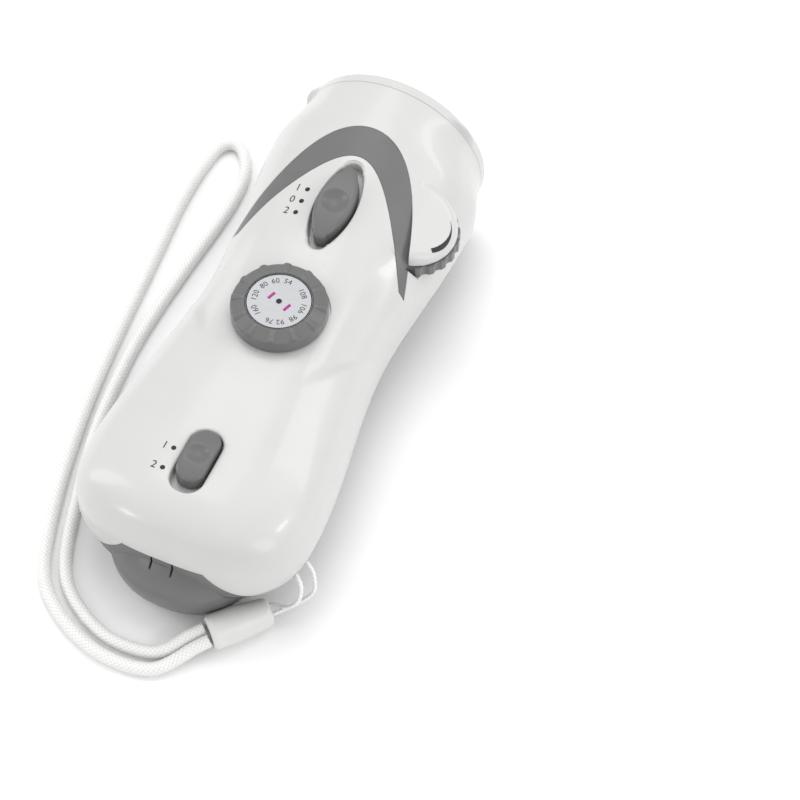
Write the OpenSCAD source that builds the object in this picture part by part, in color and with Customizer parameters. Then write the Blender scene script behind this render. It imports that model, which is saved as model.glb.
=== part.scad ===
// Hand-crank torch radio, lying on its back with the controls up.
// Millimetres. +X right, +Y towards the lamp, +Z up. It stands on z = 0 on its tail foot and nose rim.

/* [Body] */
// Overall length from tail foot to nose ring
body_l = 135; // [125:1:150]
// Widest part of the tail half
tail_width = 57.6; // [52:0.2:64]
// Narrowest part of the grip
waist_width = 46.8; // [44:0.2:52]
// Widest part of the lamp head
head_width = 53.6; // [50:0.2:58]
// Height of the tail top
tail_h = 35.5; // [35:0.1:37]
// Height of the nose rim
nose_h = 46; // [45.6:0.1:47]
// Wall thickness of both shells
wall = 1.8; // [1.6:0.1:2]
// Depth of the hand scoops beside the dial
scoop_d = 2.6; // [0:0.1:3]

/* [Controls] */
// Diameter of the tuning dial
dial_d = 22.8; // [20:0.2:24]
// Height of the tuning dial
dial_h = 4.6; // [4.2:0.1:5]
// Diameter of the printed dial label
label_d = 15.6; // [12:0.2:16]
// Ribs on the tuning dial
dial_ribs = 12; // [8:1:16]
// Slide of the light switch each way
lamp_travel = 1.7; // [1.2:0.1:2]
// Slide of the band switch
band_travel = 2.4; // [1.6:0.1:2.8]
// Diameter of the volume wheel
wheel_d = 21.6; // [20.6:0.2:21.6]
// Grip lobes on the volume wheel
wheel_lobes = 20; // [14:1:26]

/* [Gears] */
// Tooth module of the gear train
gear_m = 0.5; // [0.48:0.01:0.5]
// Teeth on the crank gear
crank_teeth = 48; // [46:1:48]
// Teeth on every pinion
pinion_teeth = 12; // [12:1:13]
// Teeth on the first idler
idler1_teeth = 36; // [34:1:36]
// Teeth on the second idler
idler2_teeth = 40; // [38:1:40]
// Play between meshing teeth
backlash = 0.12; // [0.08:0.01:0.2]

/* [Crank] */
// Reach of the crank arm from its hub to its tip
arm_l = 37; // [34:0.5:37]
// Width of the crank arm
arm_w = 14.4; // [13.6:0.2:16]
// Diameter of the folding knob
knob_d = 8.2; // [7:0.1:8.4]
// Length of the folding knob
knob_l = 16; // [13:0.5:16]

/* [Strap] */
// Diameter of the braided wrist cord
cord_d = 3.2; // [2.8:0.1:3.8]
// Diameter of the thin tie loop
tie_d = 1.2; // [1:0.1:1.6]
// Diameter of the bead
bead_d = 8.6; // [7.6:0.2:9]
// Length of the bead
bead_l = 15; // [13:0.5:17]

/* [Hidden] */
$fn = 48;
fit = 0.05;
gap = 0.3;
seam = 0.15;

// body stations
tail_y = 4 - body_l/2;
front_y = body_l/2 - 3;
tail_full_y = tail_y + 21.5;
tail_top_y = tail_y + 15.5;
waist_y = 8;
head_y = front_y - 12.5;
flare_y = front_y - 20.5;
deck_z = 10;
parting_z = 13;
mid_z = 19.5;
rim_r = (nose_h + 1.2)/2;
rim_z = nose_h - rim_r;
seam_top = 22;
seam_x = 26.8;
seam_r = 20;
foot_y = tail_y + 17;
lug_r = 9;
lug_h = 1.3;
n_low = 3.4;

// controls
dial_y = 0;
lamp_y = front_y - 33.5;
band_y = tail_y + 19.8;
wheel_y = front_y - 27.5;
wheel_x = plain_w(wheel_y) - 7.9;
wheel_z = 28.6;
wheel_t = 3.2;
ledge_r = 9;
hood_h = 4.9;

// inside levels
floor_z = deck_z + wall;
a_z = 12.9;
b_z = 15.1;
c_z = 20.8;
gear_t = 1.5;
plate_z = 22.9;
plate_t = 1.1;
board_z = 25;
board_t = 1.6;
board_top = board_z + board_t;

// gear centres: crank, two idlers, rotor
crank_c = [0, 1];
r_crank = gear_m*crank_teeth/2;
r_pin = gear_m*pinion_teeth/2;
r_id1 = gear_m*idler1_teeth/2;
r_id2 = gear_m*idler2_teeth/2;
ang1 = 233.13;
ang2 = -30;
ang3 = 40;
id1_c = crank_c + (r_crank + r_pin)*[cos(ang1), sin(ang1)];
id2_c = id1_c + (r_id1 + r_pin)*[cos(ang2), sin(ang2)];
rot_c = id2_c + (r_id2 + r_pin)*[cos(ang3), sin(ang3)];
dyn_r = 8.4;

// crank levels
arm_top = 9;
arm_bot = 1;
knob_z = (arm_top + arm_bot)/2;
hinge_y = crank_c[1] - arm_l + 6.5;
knob_start = 5;

// fasteners and straps
post_xy = [[21, tail_y + 27.5], [-21, tail_y + 27.5], [17.4, 17.5], [-17.4, 17.5]];
plate_xy = [[-16.2, -1], [14.4, 4.5], [-9.5, -24.5]];
board_xy = [[-11.5, front_y - 24.5], [11.5, -31], [-11.5, -31]];
hole_a = [tail_width/2 - 2.5, tail_y + 13.3, 15];
hole_b = [tail_width/2 - 1.8, tail_y + 17.3, 15];
hole_d = [cos(32), -sin(32), 0];
bead_a = [12.9, -67.6, bead_d/2 + 0.1];
bead_dir = 47;
speaker_c = [0, front_y - 36.2];
speaker_r = 13.4;
cell_r = 5;
cell_l = 28;
cell_y = tail_y + 5.1;
rod_y = tail_y + 9.3;
rod_z = 27.2;
rod_r = 3;
board_y = tail_y + 13.1;
port_y = -24;
cover_z = 18.4;
cover_h = 6.6;

function mix(a, b, t) = a + (b - a)*t;
function smooth(t) = let(c = min(1, max(0, t))) c*c*(3 - 2*c);
function signed_pow(v, e) = sign(v)*pow(abs(v), e);

// Half width, top and bottom of the body along its length.
function plain_w(y) =
    y < waist_y ? mix(tail_width, waist_width, smooth((y - tail_full_y)/(waist_y - tail_full_y)))/2
    : y < head_y ? mix(waist_width, head_width, smooth((y - waist_y)/(head_y - waist_y)))/2
    : mix(head_width/2, rim_r, smooth((y - head_y)/(front_y - head_y)));
function tail_round(y, from, to) =
    let(s = min(1, max(0, (from - y)/(from - to)))) pow(1 - pow(s, 2.75), 1/2.75);
function top_z(y) =
    tail_h + (nose_h - tail_h)*pow(max(0, (y + 46)/(front_y + 46)), 2.4);
function bottom_z(y) = mix(deck_z, rim_z - rim_r, smooth((y - flare_y)/(front_y - flare_y)));
function middle_z(y) = mix(mid_z, rim_z, smooth((y - 20)/(front_y - 20)));
function n_top(y) = mix(2.7, 2, smooth((y + 10)/(front_y + 10)));
function n_bottom(y) = mix(n_low, 2, smooth((y - flare_y)/(front_y - flare_y)));

// How far the hand scoops drop the top at a point.
function scoop(x, y) =
    scoop_d*smooth((abs(x) - 12)/7)*smooth((y + 17 - 1.4*(abs(x) - 12))/5)*smooth((32 - y)/20);

// One row of points across the top, from the right parting edge to the left, inset by t.
function top_row(y, t, n, low = parting_z) =
    let(k = tail_round(y, tail_full_y, tail_y + t), w = (plain_w(y) - t)*k, m = middle_z(y),
        hu = (top_z(y) - t - m)*tail_round(y, tail_top_y, tail_y + t), hl = m - bottom_z(y) - t,
        t0 = asin(min(1, pow((m - low)/hl, n_bottom(y)/2))))
    [for (j = [0:n])
        let(a = mix(-t0, 180 + t0, j/n), up = sin(a) >= 0, e = 2/(up ? n_top(y) : n_bottom(y)),
            x = w*signed_pow(cos(a), e), z = m + (up ? hu : hl)*signed_pow(sin(a), e))
        [x, y, j == 0 || j == n ? low : z - (up ? scoop(x, y)*sin(a) : 0)]];

// The same across the bottom, from the left parting edge to the right.
function low_row(y, t, n, high) =
    let(w = (plain_w(y) - t)*tail_round(y, tail_full_y, tail_y + t), m = middle_z(y),
        hl = m - bottom_z(y) - t, e = 2/n_bottom(y), t0 = asin(pow((m - high)/hl, 1/e)))
    [for (j = [0:n])
        let(a = mix(180 + t0, 360 - t0, j/n))
        [w*signed_pow(cos(a), e), y, j == 0 || j == n ? high : m + hl*signed_pow(sin(a), e)]];

// Stations: close together round the tail, then even steps to the front.
function stations(t, tail_n, n, to) = concat(
    [for (i = [0:tail_n]) tail_full_y - (tail_full_y - tail_y - t)*sin(84*(1 - i/tail_n))],
    [for (i = [1:n]) mix(tail_full_y, to, i/n)]);

// Solid through rows of points, flat on its open side and at both ends.
module loft(rows) {
    m = len(rows) - 1;
    n = len(rows[0]) - 1;
    w = n + 1;
    skin = [for (i = [0:m - 1], j = [0:n - 1], f = [0, 1])
        f == 0 ? [i*w + j, i*w + j + 1, (i + 1)*w + j + 1]
        : [i*w + j, (i + 1)*w + j + 1, (i + 1)*w + j]];
    // the flat sides in convex strips
    open_side = [for (i = [0:m - 1]) [i*w, (i + 1)*w, (i + 1)*w + n, i*w + n]];
    tail_end = [for (j = [0:n/2 - 1]) j == n/2 - 1 ? [j, n - j, j + 1] : [j, n - j, n - j - 1, j + 1]];
    front_end = [for (f = tail_end) [for (k = [len(f) - 1:-1:0]) m*w + f[k]]];
    polyhedron([for (r = rows, p = r) p], concat(skin, open_side, tail_end, front_end));
}

module top_body(t = 0, tail_n = 9, n = 26, across = 30, to = front_y, low = parting_z) {
    loft([for (y = stations(t, tail_n, n, to)) top_row(y, t, across, low)]);
}

module low_body(t = 0, tail_n = 7, n = 18, across = 20, to = front_y, high = parting_z - seam) {
    loft([for (y = stations(t, tail_n, n, to)) low_row(y, t, across, high)]);
}

// Tail foot below the deck: rounded plan, bulging to the rear, flat front and bottom.
module chin(t = 0) {
    levels = [0, 1, 2.5, 5, 8, 10, 12, 14, 16, 18, 20];
    front = foot_y - t;
    rows = [for (z = levels)
        let(f = z < 12 ? 0.66 + 0.34*sqrt(1 - pow(1 - z/12, 2)) : 1 - 0.19*pow((z - 12)/8, 2))
        [for (j = [0:16])
            let(a = 180 + 180*j/16)
            [(18.8*f - t)*signed_pow(cos(a), 0.85),
                front + ((body_l/2 + foot_y)*f - 2*t)*signed_pow(sin(a), 0.85),
                z + (z == 0 ? t : 0)]]];
    w = 17;
    m = len(rows) - 1;
    skin = [for (i = [0:m - 1], j = [0:15], f = [0, 1])
        f == 0 ? [i*w + j, (i + 1)*w + j + 1, i*w + j + 1]
        : [i*w + j, (i + 1)*w + j, (i + 1)*w + j + 1]];
    flat = [for (i = [0:m - 1]) [(i + 1)*w, i*w, i*w + 16, (i + 1)*w + 16]];
    polyhedron([for (r = rows, p = r) p],
        concat(skin, flat, [[for (j = [0:16]) j], [for (j = [16:-1:0]) m*w + j]]));
}

// Tail seam seen along Y: a raised middle between two hollow corners, with the region below it.
module seam_shape(g = 0, deep = 4) {
    rotate([90, 0, 0])
        linear_extrude(24)
            difference() {
                translate([-seam_x, parting_z - deep])
                    square([2*seam_x, seam_top - parting_z + deep + g]);
                for (s = [-1, 1])
                    translate([s*seam_x, parting_z - 0.1 + seam_r])
                        circle(seam_r - g, $fn = 96);
            }
}

module slot_outline(half_w, half_l, r) {
    off = (half_l - r)*(half_l - r)/(2*(half_w - r)) - (half_w - r)/2;
    big = off + half_w;
    intersection() {
        translate([-off, 0])
            circle(big, $fn = 96);
        translate([off, 0])
            circle(big, $fn = 96);
        square([2*half_w + 1, 2*(half_l - r)], center = true);
    }
    for (s = [-1, 1])
        translate([0, s*(half_l - r)])
            circle(r);
}

module stadium(half_w, half_l, r) {
    square([2*half_w, 2*(half_l - r)], center = true);
    square([2*(half_w - r), 2*half_l], center = true);
    for (sx = [-1, 1], sy = [-1, 1])
        translate([sx*(half_w - r), sy*(half_l - r)])
            circle(r);
}

// Band of the accent arc seen from above.
arc_out = front_y - 11.4;
arc_in = front_y - 19.5;
module arc_band(g = 0) {
    outer_x = 22.4 + g;
    inner_x = 21.1 - g;
    n = 14;
    polygon(concat(
        [for (i = [-n:n]) let(x = outer_x*i/n) [x, arc_out + g - 0.0386*x*x - 0.000053*pow(x, 4)]],
        [for (i = [n:-1:-n]) let(x = inner_x*i/n) [x, arc_in - g - 2*(sqrt(x*x + 144) - 12)]]));
}

lamp_tilt = atan((top_z(lamp_y + 1) - top_z(lamp_y - 1))/2);
module at_lamp() {
    translate([0, lamp_y, top_z(lamp_y)])
        rotate([lamp_tilt, 0, 0])
            children();
}

module at_band() {
    translate([0, band_y, tail_h])
        children();
}

seat_z = top_z(dial_y) - 0.7;
dial_r = dial_d/2;
dial_z = seat_z + gap;

module posts() {
    for (p = post_xy)
        translate([p[0], p[1], parting_z + 0.4])
            cylinder(h = 20, r = 2.7);
    for (p = board_xy)
        translate([p[0], p[1], board_top])
            cylinder(h = 12, r = 2);
    for (x = [-14, 13])
        translate([x, rod_y - 3.5, rod_z - 1])
            cube([2, 7, 10]);
}

module upper_shell() {
    color("#f4f4f2")
        difference() {
            union() {
                difference() {
                    top_body();
                    top_body(wall, 6, 15, 18, front_y + 1, parting_z - 0.7);
                }
                intersection() {
                    posts();
                    top_body(wall/2, 6, 15, 18);
                }
                // wells that the two slide switches run in
                at_lamp()
                    translate([0, 0, -4.4])
                        linear_extrude(3.5)
                            slot_outline(6.2, 13.5, 2.8);
                at_band()
                    translate([0, 0, -4.3])
                        linear_extrude(3.4)
                            stadium(5.2, 9.7, 4.6);
                // hood over the volume wheel, sloping with the side of the head
                translate([wheel_x, wheel_y, wheel_z + wheel_t + 0.25])
                    difference() {
                        rotate([6, 16, 0])
                            rotate_extrude($fn = 64) {
                                square([ledge_r, hood_h - 1.6]);
                                square([ledge_r - 1.6, hood_h]);
                                translate([ledge_r - 1.6, hood_h - 1.6])
                                    circle(1.6);
                            }
                        translate([-ledge_r - 2, -ledge_r - 2, -10])
                            cube([ledge_r - 2, 2*ledge_r + 4, 30]);
                    }
            }
            // accent arc pocket
            difference() {
                translate([0, 0, 24])
                    linear_extrude(30)
                        arc_band(fit);
                top_body(1.25, 6, 15, 26);
            }
            translate([0, tail_y + 19.1, 0])
                seam_shape(seam);
            // dial seat and shaft hole
            translate([0, dial_y, seat_z])
                cylinder(h = 20, r = dial_d/2 + 0.5, $fn = 72);
            translate([0, dial_y, 20])
                cylinder(h = 30, r = 3.6);
            at_lamp() {
                translate([0, 0, -3.2])
                    linear_extrude(16)
                        slot_outline(5, 12.3, 2.4);
                translate([-1.3, -lamp_travel - 1.5, -8])
                    cube([2.6, 2*lamp_travel + 3, 8]);
            }
            at_band() {
                translate([0, 0, -3.1])
                    linear_extrude(16)
                        stadium(4, 8.5, 3.8);
                translate([-1.3, -band_travel/2 - 1.5, -8])
                    cube([2.6, band_travel + 3, 8]);
            }
            wheel_slot();
            // charging port and the recess of its cover
            port_opening();
            for (p = post_xy)
                translate([p[0], p[1], parting_z])
                    cylinder(h = 9, r = 1.1);
            for (p = board_xy)
                translate([p[0], p[1], board_top - 1])
                    cylinder(h = 5, r = 0.8);
            translate([-16, rod_y, rod_z])
                rotate([0, 90, 0])
                    cylinder(h = 32, r = rod_r + fit);
            for (h = [hole_a, hole_b])
                translate(h)
                    rotate([0, 90, -32])
                        cylinder(h = 8, r = 1.3, center = true);
        }
}

// Slot that the volume wheel turns in.
module wheel_slot() {
    translate([wheel_x, wheel_y, wheel_z - 0.35])
        cylinder(h = wheel_t + 0.6, r = wheel_d/2 + 0.5, $fn = 72);
}

module port_opening() {
    translate([-40, port_y - 4.3, board_z - 2.95])
        cube([19, 8.6, 3.1]);
    difference() {
        translate([-40, port_y - 6.2, cover_z - 0.2])
            cube([20, 12.4, cover_h + 0.4]);
        top_body(1.25, 6, 15, 26);
    }
}

// Rubber cover of the charging port, following the side of the shell.
module port_cover() {
    color("#6f6f6f")
        difference() {
            intersection() {
                translate([-40, port_y - 6, cover_z])
                    cube([20, 12, cover_h]);
                top_body(0.2, 6, 15, 26);
            }
            top_body(1.1, 6, 15, 26);
        }
}

module lower_shell() {
    color("#7d7d7d")
        difference() {
            union() {
                difference() {
                    union() {
                        low_body();
                        intersection() {
                            chin();
                            translate([0, tail_y + 19.1, 0])
                                seam_shape(0, 14);
                        }
                        intersection() {
                            loft([for (y = stations(0.1, 8, 2, tail_y + 25.5)) top_row(y, 0.1, 24, 11)]);
                            translate([0, tail_y + 16.5, 0])
                                seam_shape(0, 2);
                        }
                    }
                    low_body(wall, 6, 15, 14, front_y + 1, parting_z + 0.8);
                    loft([for (y = stations(wall + 0.2, 6, 3, tail_y + 33.5))
                        top_row(y, wall + 0.2, 18, 12.9)]);
                    intersection() {
                        chin(wall);
                        translate([-30, tail_y - 6.5, 0])
                            cube([60, 40, 15]);
                    }
                }
                // bosses: gear pins, rotor, dynamo, battery ribs, screw seats
                for (c = [id1_c, id2_c, rot_c])
                    translate([c[0], c[1], floor_z - 0.6])
                        cylinder(h = a_z - floor_z + 0.2, r = 1.9);
                translate([16.2, -14.6, floor_z - 0.4])
                    cylinder(h = b_z - floor_z + 0.3, r = 1.7);
                for (p = plate_xy)
                    translate([p[0], p[1], floor_z - 0.4])
                        cylinder(h = plate_z - floor_z + 0.4, r = 2);
                for (p = post_xy)
                    translate([p[0], p[1], deck_z + 0.5])
                        cylinder(h = 2, r = 3.4);
                translate([crank_c[0], crank_c[1], deck_z + 0.8])
                    cylinder(h = 1.7, r = 5.4);
                for (s = [-1, 1])
                    translate([s*17.2 - 0.6, cell_y + 6, floor_z - 0.4])
                        cube([1.2, cell_l - 6, 5]);
                translate([speaker_c[0], speaker_c[1], floor_z - 0.4])
                    difference() {
                        cylinder(h = 2, r = speaker_r + 1.2, $fn = 64);
                        translate([0, 0, -1])
                            cylinder(h = 6, r = speaker_r + 0.1, $fn = 64);
                    }
            }
            // flat under the nose rim
            translate([-40, 30, -10])
                cube([80, 60, 10]);
            translate([crank_c[0], crank_c[1], 0])
                cylinder(h = 20, r = 3.6);
            for (c = [id1_c, id2_c, rot_c])
                translate([c[0], c[1], floor_z - 1])
                    cylinder(h = 9, r = 0.7);
            for (p = plate_xy)
                translate([p[0], p[1], plate_z - 6])
                    cylinder(h = 9, r = 0.7);
            for (p = post_xy)
                translate([p[0], p[1], 0]) {
                    cylinder(h = 30, r = 1.5);
                    cylinder(h = deck_z + 1.4, r = 2.7);
                }
            // sound slots
            for (i = [-2:2])
                translate([4*i - 0.7, speaker_c[1] - sqrt(110 - 16*i*i), deck_z - 3])
                    cube([1.4, 2*sqrt(110 - 16*i*i), 6]);
            // slits beside the latch tab
            for (s = [-1, 1])
                translate([s*2.6 - 0.25, tail_y - 8.5, seam_top - 3.6])
                    cube([0.5, 12, 8]);
        }
}

module accent_arc() {
    color("#757575")
        intersection() {
            translate([0, 0, 24])
                linear_extrude(30)
                    arc_band(-fit);
            difference() {
                top_body(0, 9, 26, 30);
                top_body(1.15, 6, 15, 26, front_y + 1, parting_z - 1);
                wheel_slot();
            }
        }
}

module front_bezel() {
    color("#f4f4f2")
        difference() {
            translate([0, front_y + fit, rim_z])
                rotate([-90, 0, 0])
                    difference() {
                        union() {
                            rotate_extrude($fn = 96) {
                                square([rim_r - 1, 3 - fit]);
                                square([rim_r, 2 - fit]);
                                translate([rim_r - 1, 2 - fit])
                                    circle(1);
                            }
                            translate([0, 0, -3.4])
                                cylinder(h = 4, r = rim_r - 3.1, $fn = 96);
                            // three rounded lugs
                            for (a = [-41, -161, -281])
                                rotate([0, 0, a])
                                    translate([rim_r + lug_h - lug_r, 0, 0])
                                        cylinder(h = 1.6, r = lug_r, $fn = 96);
                        }
                        translate([0, 0, -4])
                            cylinder(h = 10, r = rim_r - 5, $fn = 96);
                        translate([0, 0, -4])
                            cylinder(h = 4.6, r = rim_r - 4.2, $fn = 96);
                    }
            translate([-40, 30, -10])
                cube([80, 60, 10]);
        }
}

module lens() {
    color("#dfe9ee", 0.5)
        translate([0, front_y - 1.4, rim_z])
            rotate([-90, 0, 0])
                cylinder(h = 2 - fit, r = rim_r - 4.2 - fit, $fn = 96);
}

module reflector() {
    cup = [8.2, front_y - 16.9];
    cup_r = rim_r - 13.8;
    color("#d8dadc")
        translate([0, 0, rim_z])
            rotate([-90, 0, 0])
                difference() {
                    rotate_extrude($fn = 72)
                        polygon(concat(
                            [[0, front_y - 18.1], [9, front_y - 18.1]],
                            [for (i = [0:8]) cup + [0.8, 0] + [cup_r*pow(i/8, 0.85), 13.2*i/8]],
                            [[rim_r - 4.3, front_y - 3.7], [rim_r - 4.3, front_y - 1.45],
                                [rim_r - 5.6, front_y - 1.45]],
                            [for (i = [8:-1:0]) cup + [cup_r*pow(i/8, 0.85), 13.2*i/8]],
                            [[0, cup[1]]]));
                    for (a = [90, 210, 330])
                        rotate([0, 0, a])
                            translate([5, 0, front_y - 24.5])
                                cylinder(h = 20, r = 2.5 + fit);
                }
}

module leds() {
    color("#f7f6df")
        translate([0, 0, rim_z])
            rotate([-90, 0, 0])
                for (a = [90, 210, 330])
                    rotate([0, 0, a])
                        translate([5, 0, front_y - 20.2 + fit]) {
                            cylinder(h = 6, r = 2.5);
                            translate([0, 0, 6])
                                sphere(2.5);
                            cylinder(h = 1.2, r = 2.9);
                        }
}

module led_board() {
    color("#2f6b3c")
        translate([0, front_y - 21.7, rim_z])
            rotate([-90, 0, 0])
                cylinder(h = 1.5, r = 8.8);
}

module main_board() {
    color("#2f6b3c")
        difference() {
            translate([0, 0, board_z])
                linear_extrude(board_t) {
                    translate([-13.5, board_y])
                        square([27, front_y - 21.7 - board_y]);
                    translate([9.4, wheel_y - 9.2])
                        square([wheel_x + 2.6 - 9.4, 16.5]);
                    translate([-22.4, port_y - 6])
                        square([12, 12]);
                }
            for (p = board_xy)
                translate([p[0], p[1], board_z - 1])
                    cylinder(h = 4, r = 1);
        }
}

module board_screws() {
    color("#9aa0a6")
        for (p = board_xy)
            translate([p[0], p[1], board_z]) {
                translate([0, 0, -1.3])
                    cylinder(h = 1.3, r = 1.7);
                cylinder(h = board_t + 3, r = 0.8 - fit);
            }
}

// Spur gear with involute flanks, few points on each flank.
function inv(a) = tan(a) - a*PI/180;
function gear_points(z, d) =
    let(r = gear_m*z/2, rb = r*cos(20), ra = r + 0.95*gear_m, rf = r - 1.2*gear_m, lo = max(rb, rf + 0.02),
        half = 90/z - backlash/2/r*90/PI,
        at = function (q) half + (inv(20) - inv(acos(min(1, rb/q))))*180/PI)
    [for (i = [0:z - 1], k = [0:7])
        let(c = d + 360*i/z, s = k < 4 ? -1 : 1, q = [rf, lo, r, ra, ra, r, lo, rf][k],
            a = c + s*at(max(q, rb)))
        q*[cos(a), sin(a)]];

module gear(z, d, h) {
    linear_extrude(h)
        polygon(gear_points(z, d));
}

// Turn of gear b that puts a gap of b on a tooth of a, seen along direction phi.
function mesh_turn(za, da, zb, phi) = phi + 180 - (0.5 - (phi - da)*za/360)*360/zb;

turn_1 = mesh_turn(crank_teeth, 0, pinion_teeth, ang1);
turn_2 = mesh_turn(idler1_teeth, 0, pinion_teeth, ang2);
turn_3 = mesh_turn(idler2_teeth, 0, pinion_teeth, ang3);

module crank_gear() {
    color("#e9e4d4")
        translate([crank_c[0], crank_c[1], a_z])
            difference() {
                union() {
                    gear(crank_teeth, 0, gear_t);
                    cylinder(h = 3.4, r = 4.4);
                }
                translate([0, 0, -1])
                    cylinder(h = 6, r = 2.5);
                for (i = [0:4])
                    rotate([0, 0, 72*i])
                        translate([7.6, 0, -1])
                            cylinder(h = 4, r = 2);
            }
}

module idler_gear_1() {
    color("#e9e4d4")
        translate([id1_c[0], id1_c[1], a_z])
            difference() {
                union() {
                    translate([0, 0, -0.2])
                        gear(pinion_teeth, turn_1, b_z - a_z + 0.3);
                    translate([0, 0, b_z - a_z])
                        gear(idler1_teeth, 0, gear_t);
                }
                translate([0, 0, -1])
                    cylinder(h = 12, r = 0.75);
                for (i = [0:4])
                    rotate([0, 0, 72*i])
                        translate([5.8, 0, 1.6])
                            cylinder(h = 4, r = 1.3);
            }
}

module idler_gear_2() {
    color("#e9e4d4")
        translate([id2_c[0], id2_c[1], a_z])
            difference() {
                union() {
                    translate([0, 0, -0.2])
                        cylinder(h = b_z - a_z, r = 1.8);
                    translate([0, 0, b_z - a_z - 0.3])
                        gear(pinion_teeth, turn_2, gear_t + 0.6);
                    cylinder(h = c_z - a_z + 0.4, r = 2);
                    translate([0, 0, c_z - a_z])
                        gear(idler2_teeth, 0, gear_t);
                }
                translate([0, 0, -1])
                    cylinder(h = 20, r = 0.75);
                for (i = [0:4])
                    rotate([0, 0, 72*i])
                        translate([6.2, 0, 7])
                            cylinder(h = 4, r = 1.5);
            }
}

module gear_pins() {
    color("#b9bdc1") {
        translate([id1_c[0], id1_c[1], floor_z - 0.9]) {
            cylinder(h = b_z + gear_t - floor_z + 1.3, r = 0.7);
            translate([0, 0, b_z + gear_t - floor_z + 1.1])
                cylinder(h = 0.6, r = 1.2);
        }
        translate([id2_c[0], id2_c[1], floor_z - 0.9])
            cylinder(h = plate_z + plate_t - floor_z + 0.8, r = 0.7);
    }
}

module gearbox_plate() {
    color("#c9ccd0")
        translate([0, 0, plate_z])
            difference() {
                linear_extrude(plate_t)
                    difference() {
                        union() {
                            translate([-18.6, -5])
                                square([35.6, 12]);
                            translate([-12, -27])
                                square([18, 23]);
                            translate([4, -14])
                                square([13, 12]);
                        }
                        translate(crank_c)
                            circle(1.5 + fit);
                        translate(id2_c)
                            circle(0.7);
                        translate(rot_c)
                            circle(0.7 + fit);
                        for (p = plate_xy)
                            translate(p)
                                circle(0.8);
                    }
            }
}

module gearbox_screws() {
    color("#9aa0a6")
        for (p = plate_xy)
            translate([p[0], p[1], plate_z - 5]) {
                cylinder(h = 5 + plate_t, r = 0.7);
                translate([0, 0, 5 + plate_t])
                    cylinder(h = 0.9, r = 1.5);
            }
}

module dynamo_housing() {
    color("#c4c8cc")
        translate([rot_c[0], rot_c[1], b_z - 0.1])
            difference() {
                cylinder(h = 5, r = dyn_r);
                translate([0, 0, 0.5])
                    cylinder(h = 6, r = dyn_r - 0.5);
                translate([0, 0, -1])
                    cylinder(h = 3, r = 1.6);
            }
}

module dynamo_coil() {
    color("#b4692e")
        translate([rot_c[0], rot_c[1], b_z + 0.5])
            difference() {
                union() {
                    cylinder(h = 4, r = dyn_r - 1.2);
                    cylinder(h = 0.5, r = dyn_r - 0.5 - fit);
                    translate([0, 0, 3.5])
                        cylinder(h = 0.5, r = dyn_r - 0.5 - fit);
                }
                translate([0, 0, -1])
                    cylinder(h = 8, r = 5.6);
            }
}

module dynamo_rotor() {
    color("#5b5e63")
        translate([rot_c[0], rot_c[1], 0])
            difference() {
                union() {
                    translate([0, 0, b_z + 0.9])
                        cylinder(h = 3.4, r = 5);
                    translate([0, 0, b_z + 4.2])
                        cylinder(h = 1.4, r = 1.8);
                    translate([0, 0, c_z - 0.3])
                        gear(pinion_teeth, turn_3, gear_t + 0.6);
                }
                cylinder(h = 40, r = 0.65);
            }
}

module rotor_shaft() {
    color("#d2d5d8")
        translate([rot_c[0], rot_c[1], floor_z - 0.8])
            cylinder(h = plate_z + plate_t - floor_z + 1, r = 0.65);
}

module crank_shaft() {
    color("#d2d5d8")
        translate([crank_c[0], crank_c[1], 3.2])
            difference() {
                union() {
                    cylinder(h = a_z + 3.2 - 3.2, r = 2.5);
                    cylinder(h = plate_z + plate_t + 0.3 - 3.2, r = 1.5);
                }
                translate([0, 0, -1])
                    cylinder(h = 6, r = 1);
            }
}

module crank_bush() {
    color("#c9a24a")
        translate([crank_c[0], crank_c[1], deck_z - 0.4])
            difference() {
                union() {
                    translate([0, 0, 0.4])
                        cylinder(h = 2.4, r = 3.6);
                    cylinder(h = 0.35, r = 4.6);
                    cylinder(h = 1, r = 3.6);
                }
                translate([0, 0, -1])
                    cylinder(h = 6, r = 2.5 + fit);
            }
}

module crank_arm() {
    color("#f4f4f2")
        difference() {
            union() {
                translate([crank_c[0], crank_c[1], arm_bot])
                    cylinder(h = arm_top - arm_bot, r = 8.6);
                translate([-arm_w/2, crank_c[1] - arm_l + arm_w/2, arm_bot])
                    cube([arm_w, arm_l - arm_w/2, arm_top - arm_bot]);
                translate([0, crank_c[1] - arm_l + arm_w/2, arm_bot])
                    cylinder(h = arm_top - arm_bot, r = arm_w/2);
            }
            translate([-knob_d/2 - 0.6, hinge_y - 4.1, 0])
                cube([knob_d + 1.2, knob_start + knob_l + 5.7, 20]);
            translate([-20, hinge_y, knob_z])
                rotate([0, 90, 0])
                    cylinder(h = 40, r = 1.2);
            translate([crank_c[0], crank_c[1], 3.2])
                cylinder(h = 20, r = 2.5);
            translate([crank_c[0], crank_c[1], 0])
                cylinder(h = 20, r = 1.2);
            translate([crank_c[0], crank_c[1], 0])
                cylinder(h = 2.6, r = 3);
        }
}

module crank_screw() {
    color("#9aa0a6")
        translate([crank_c[0], crank_c[1], arm_bot + 0.2])
            difference() {
                union() {
                    cylinder(h = 1.4, r = 2.8);
                    cylinder(h = 6, r = 1);
                }
                for (a = [0, 90])
                    rotate([0, 0, a])
                        cube([3.4, 0.6, 1.2], center = true);
            }
}

module knob_hinge_pin() {
    color("#b9bdc1")
        translate([-arm_w/2 + 0.2, hinge_y, knob_z])
            rotate([0, 90, 0])
                cylinder(h = arm_w - 0.4, r = 1.2);
}

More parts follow.
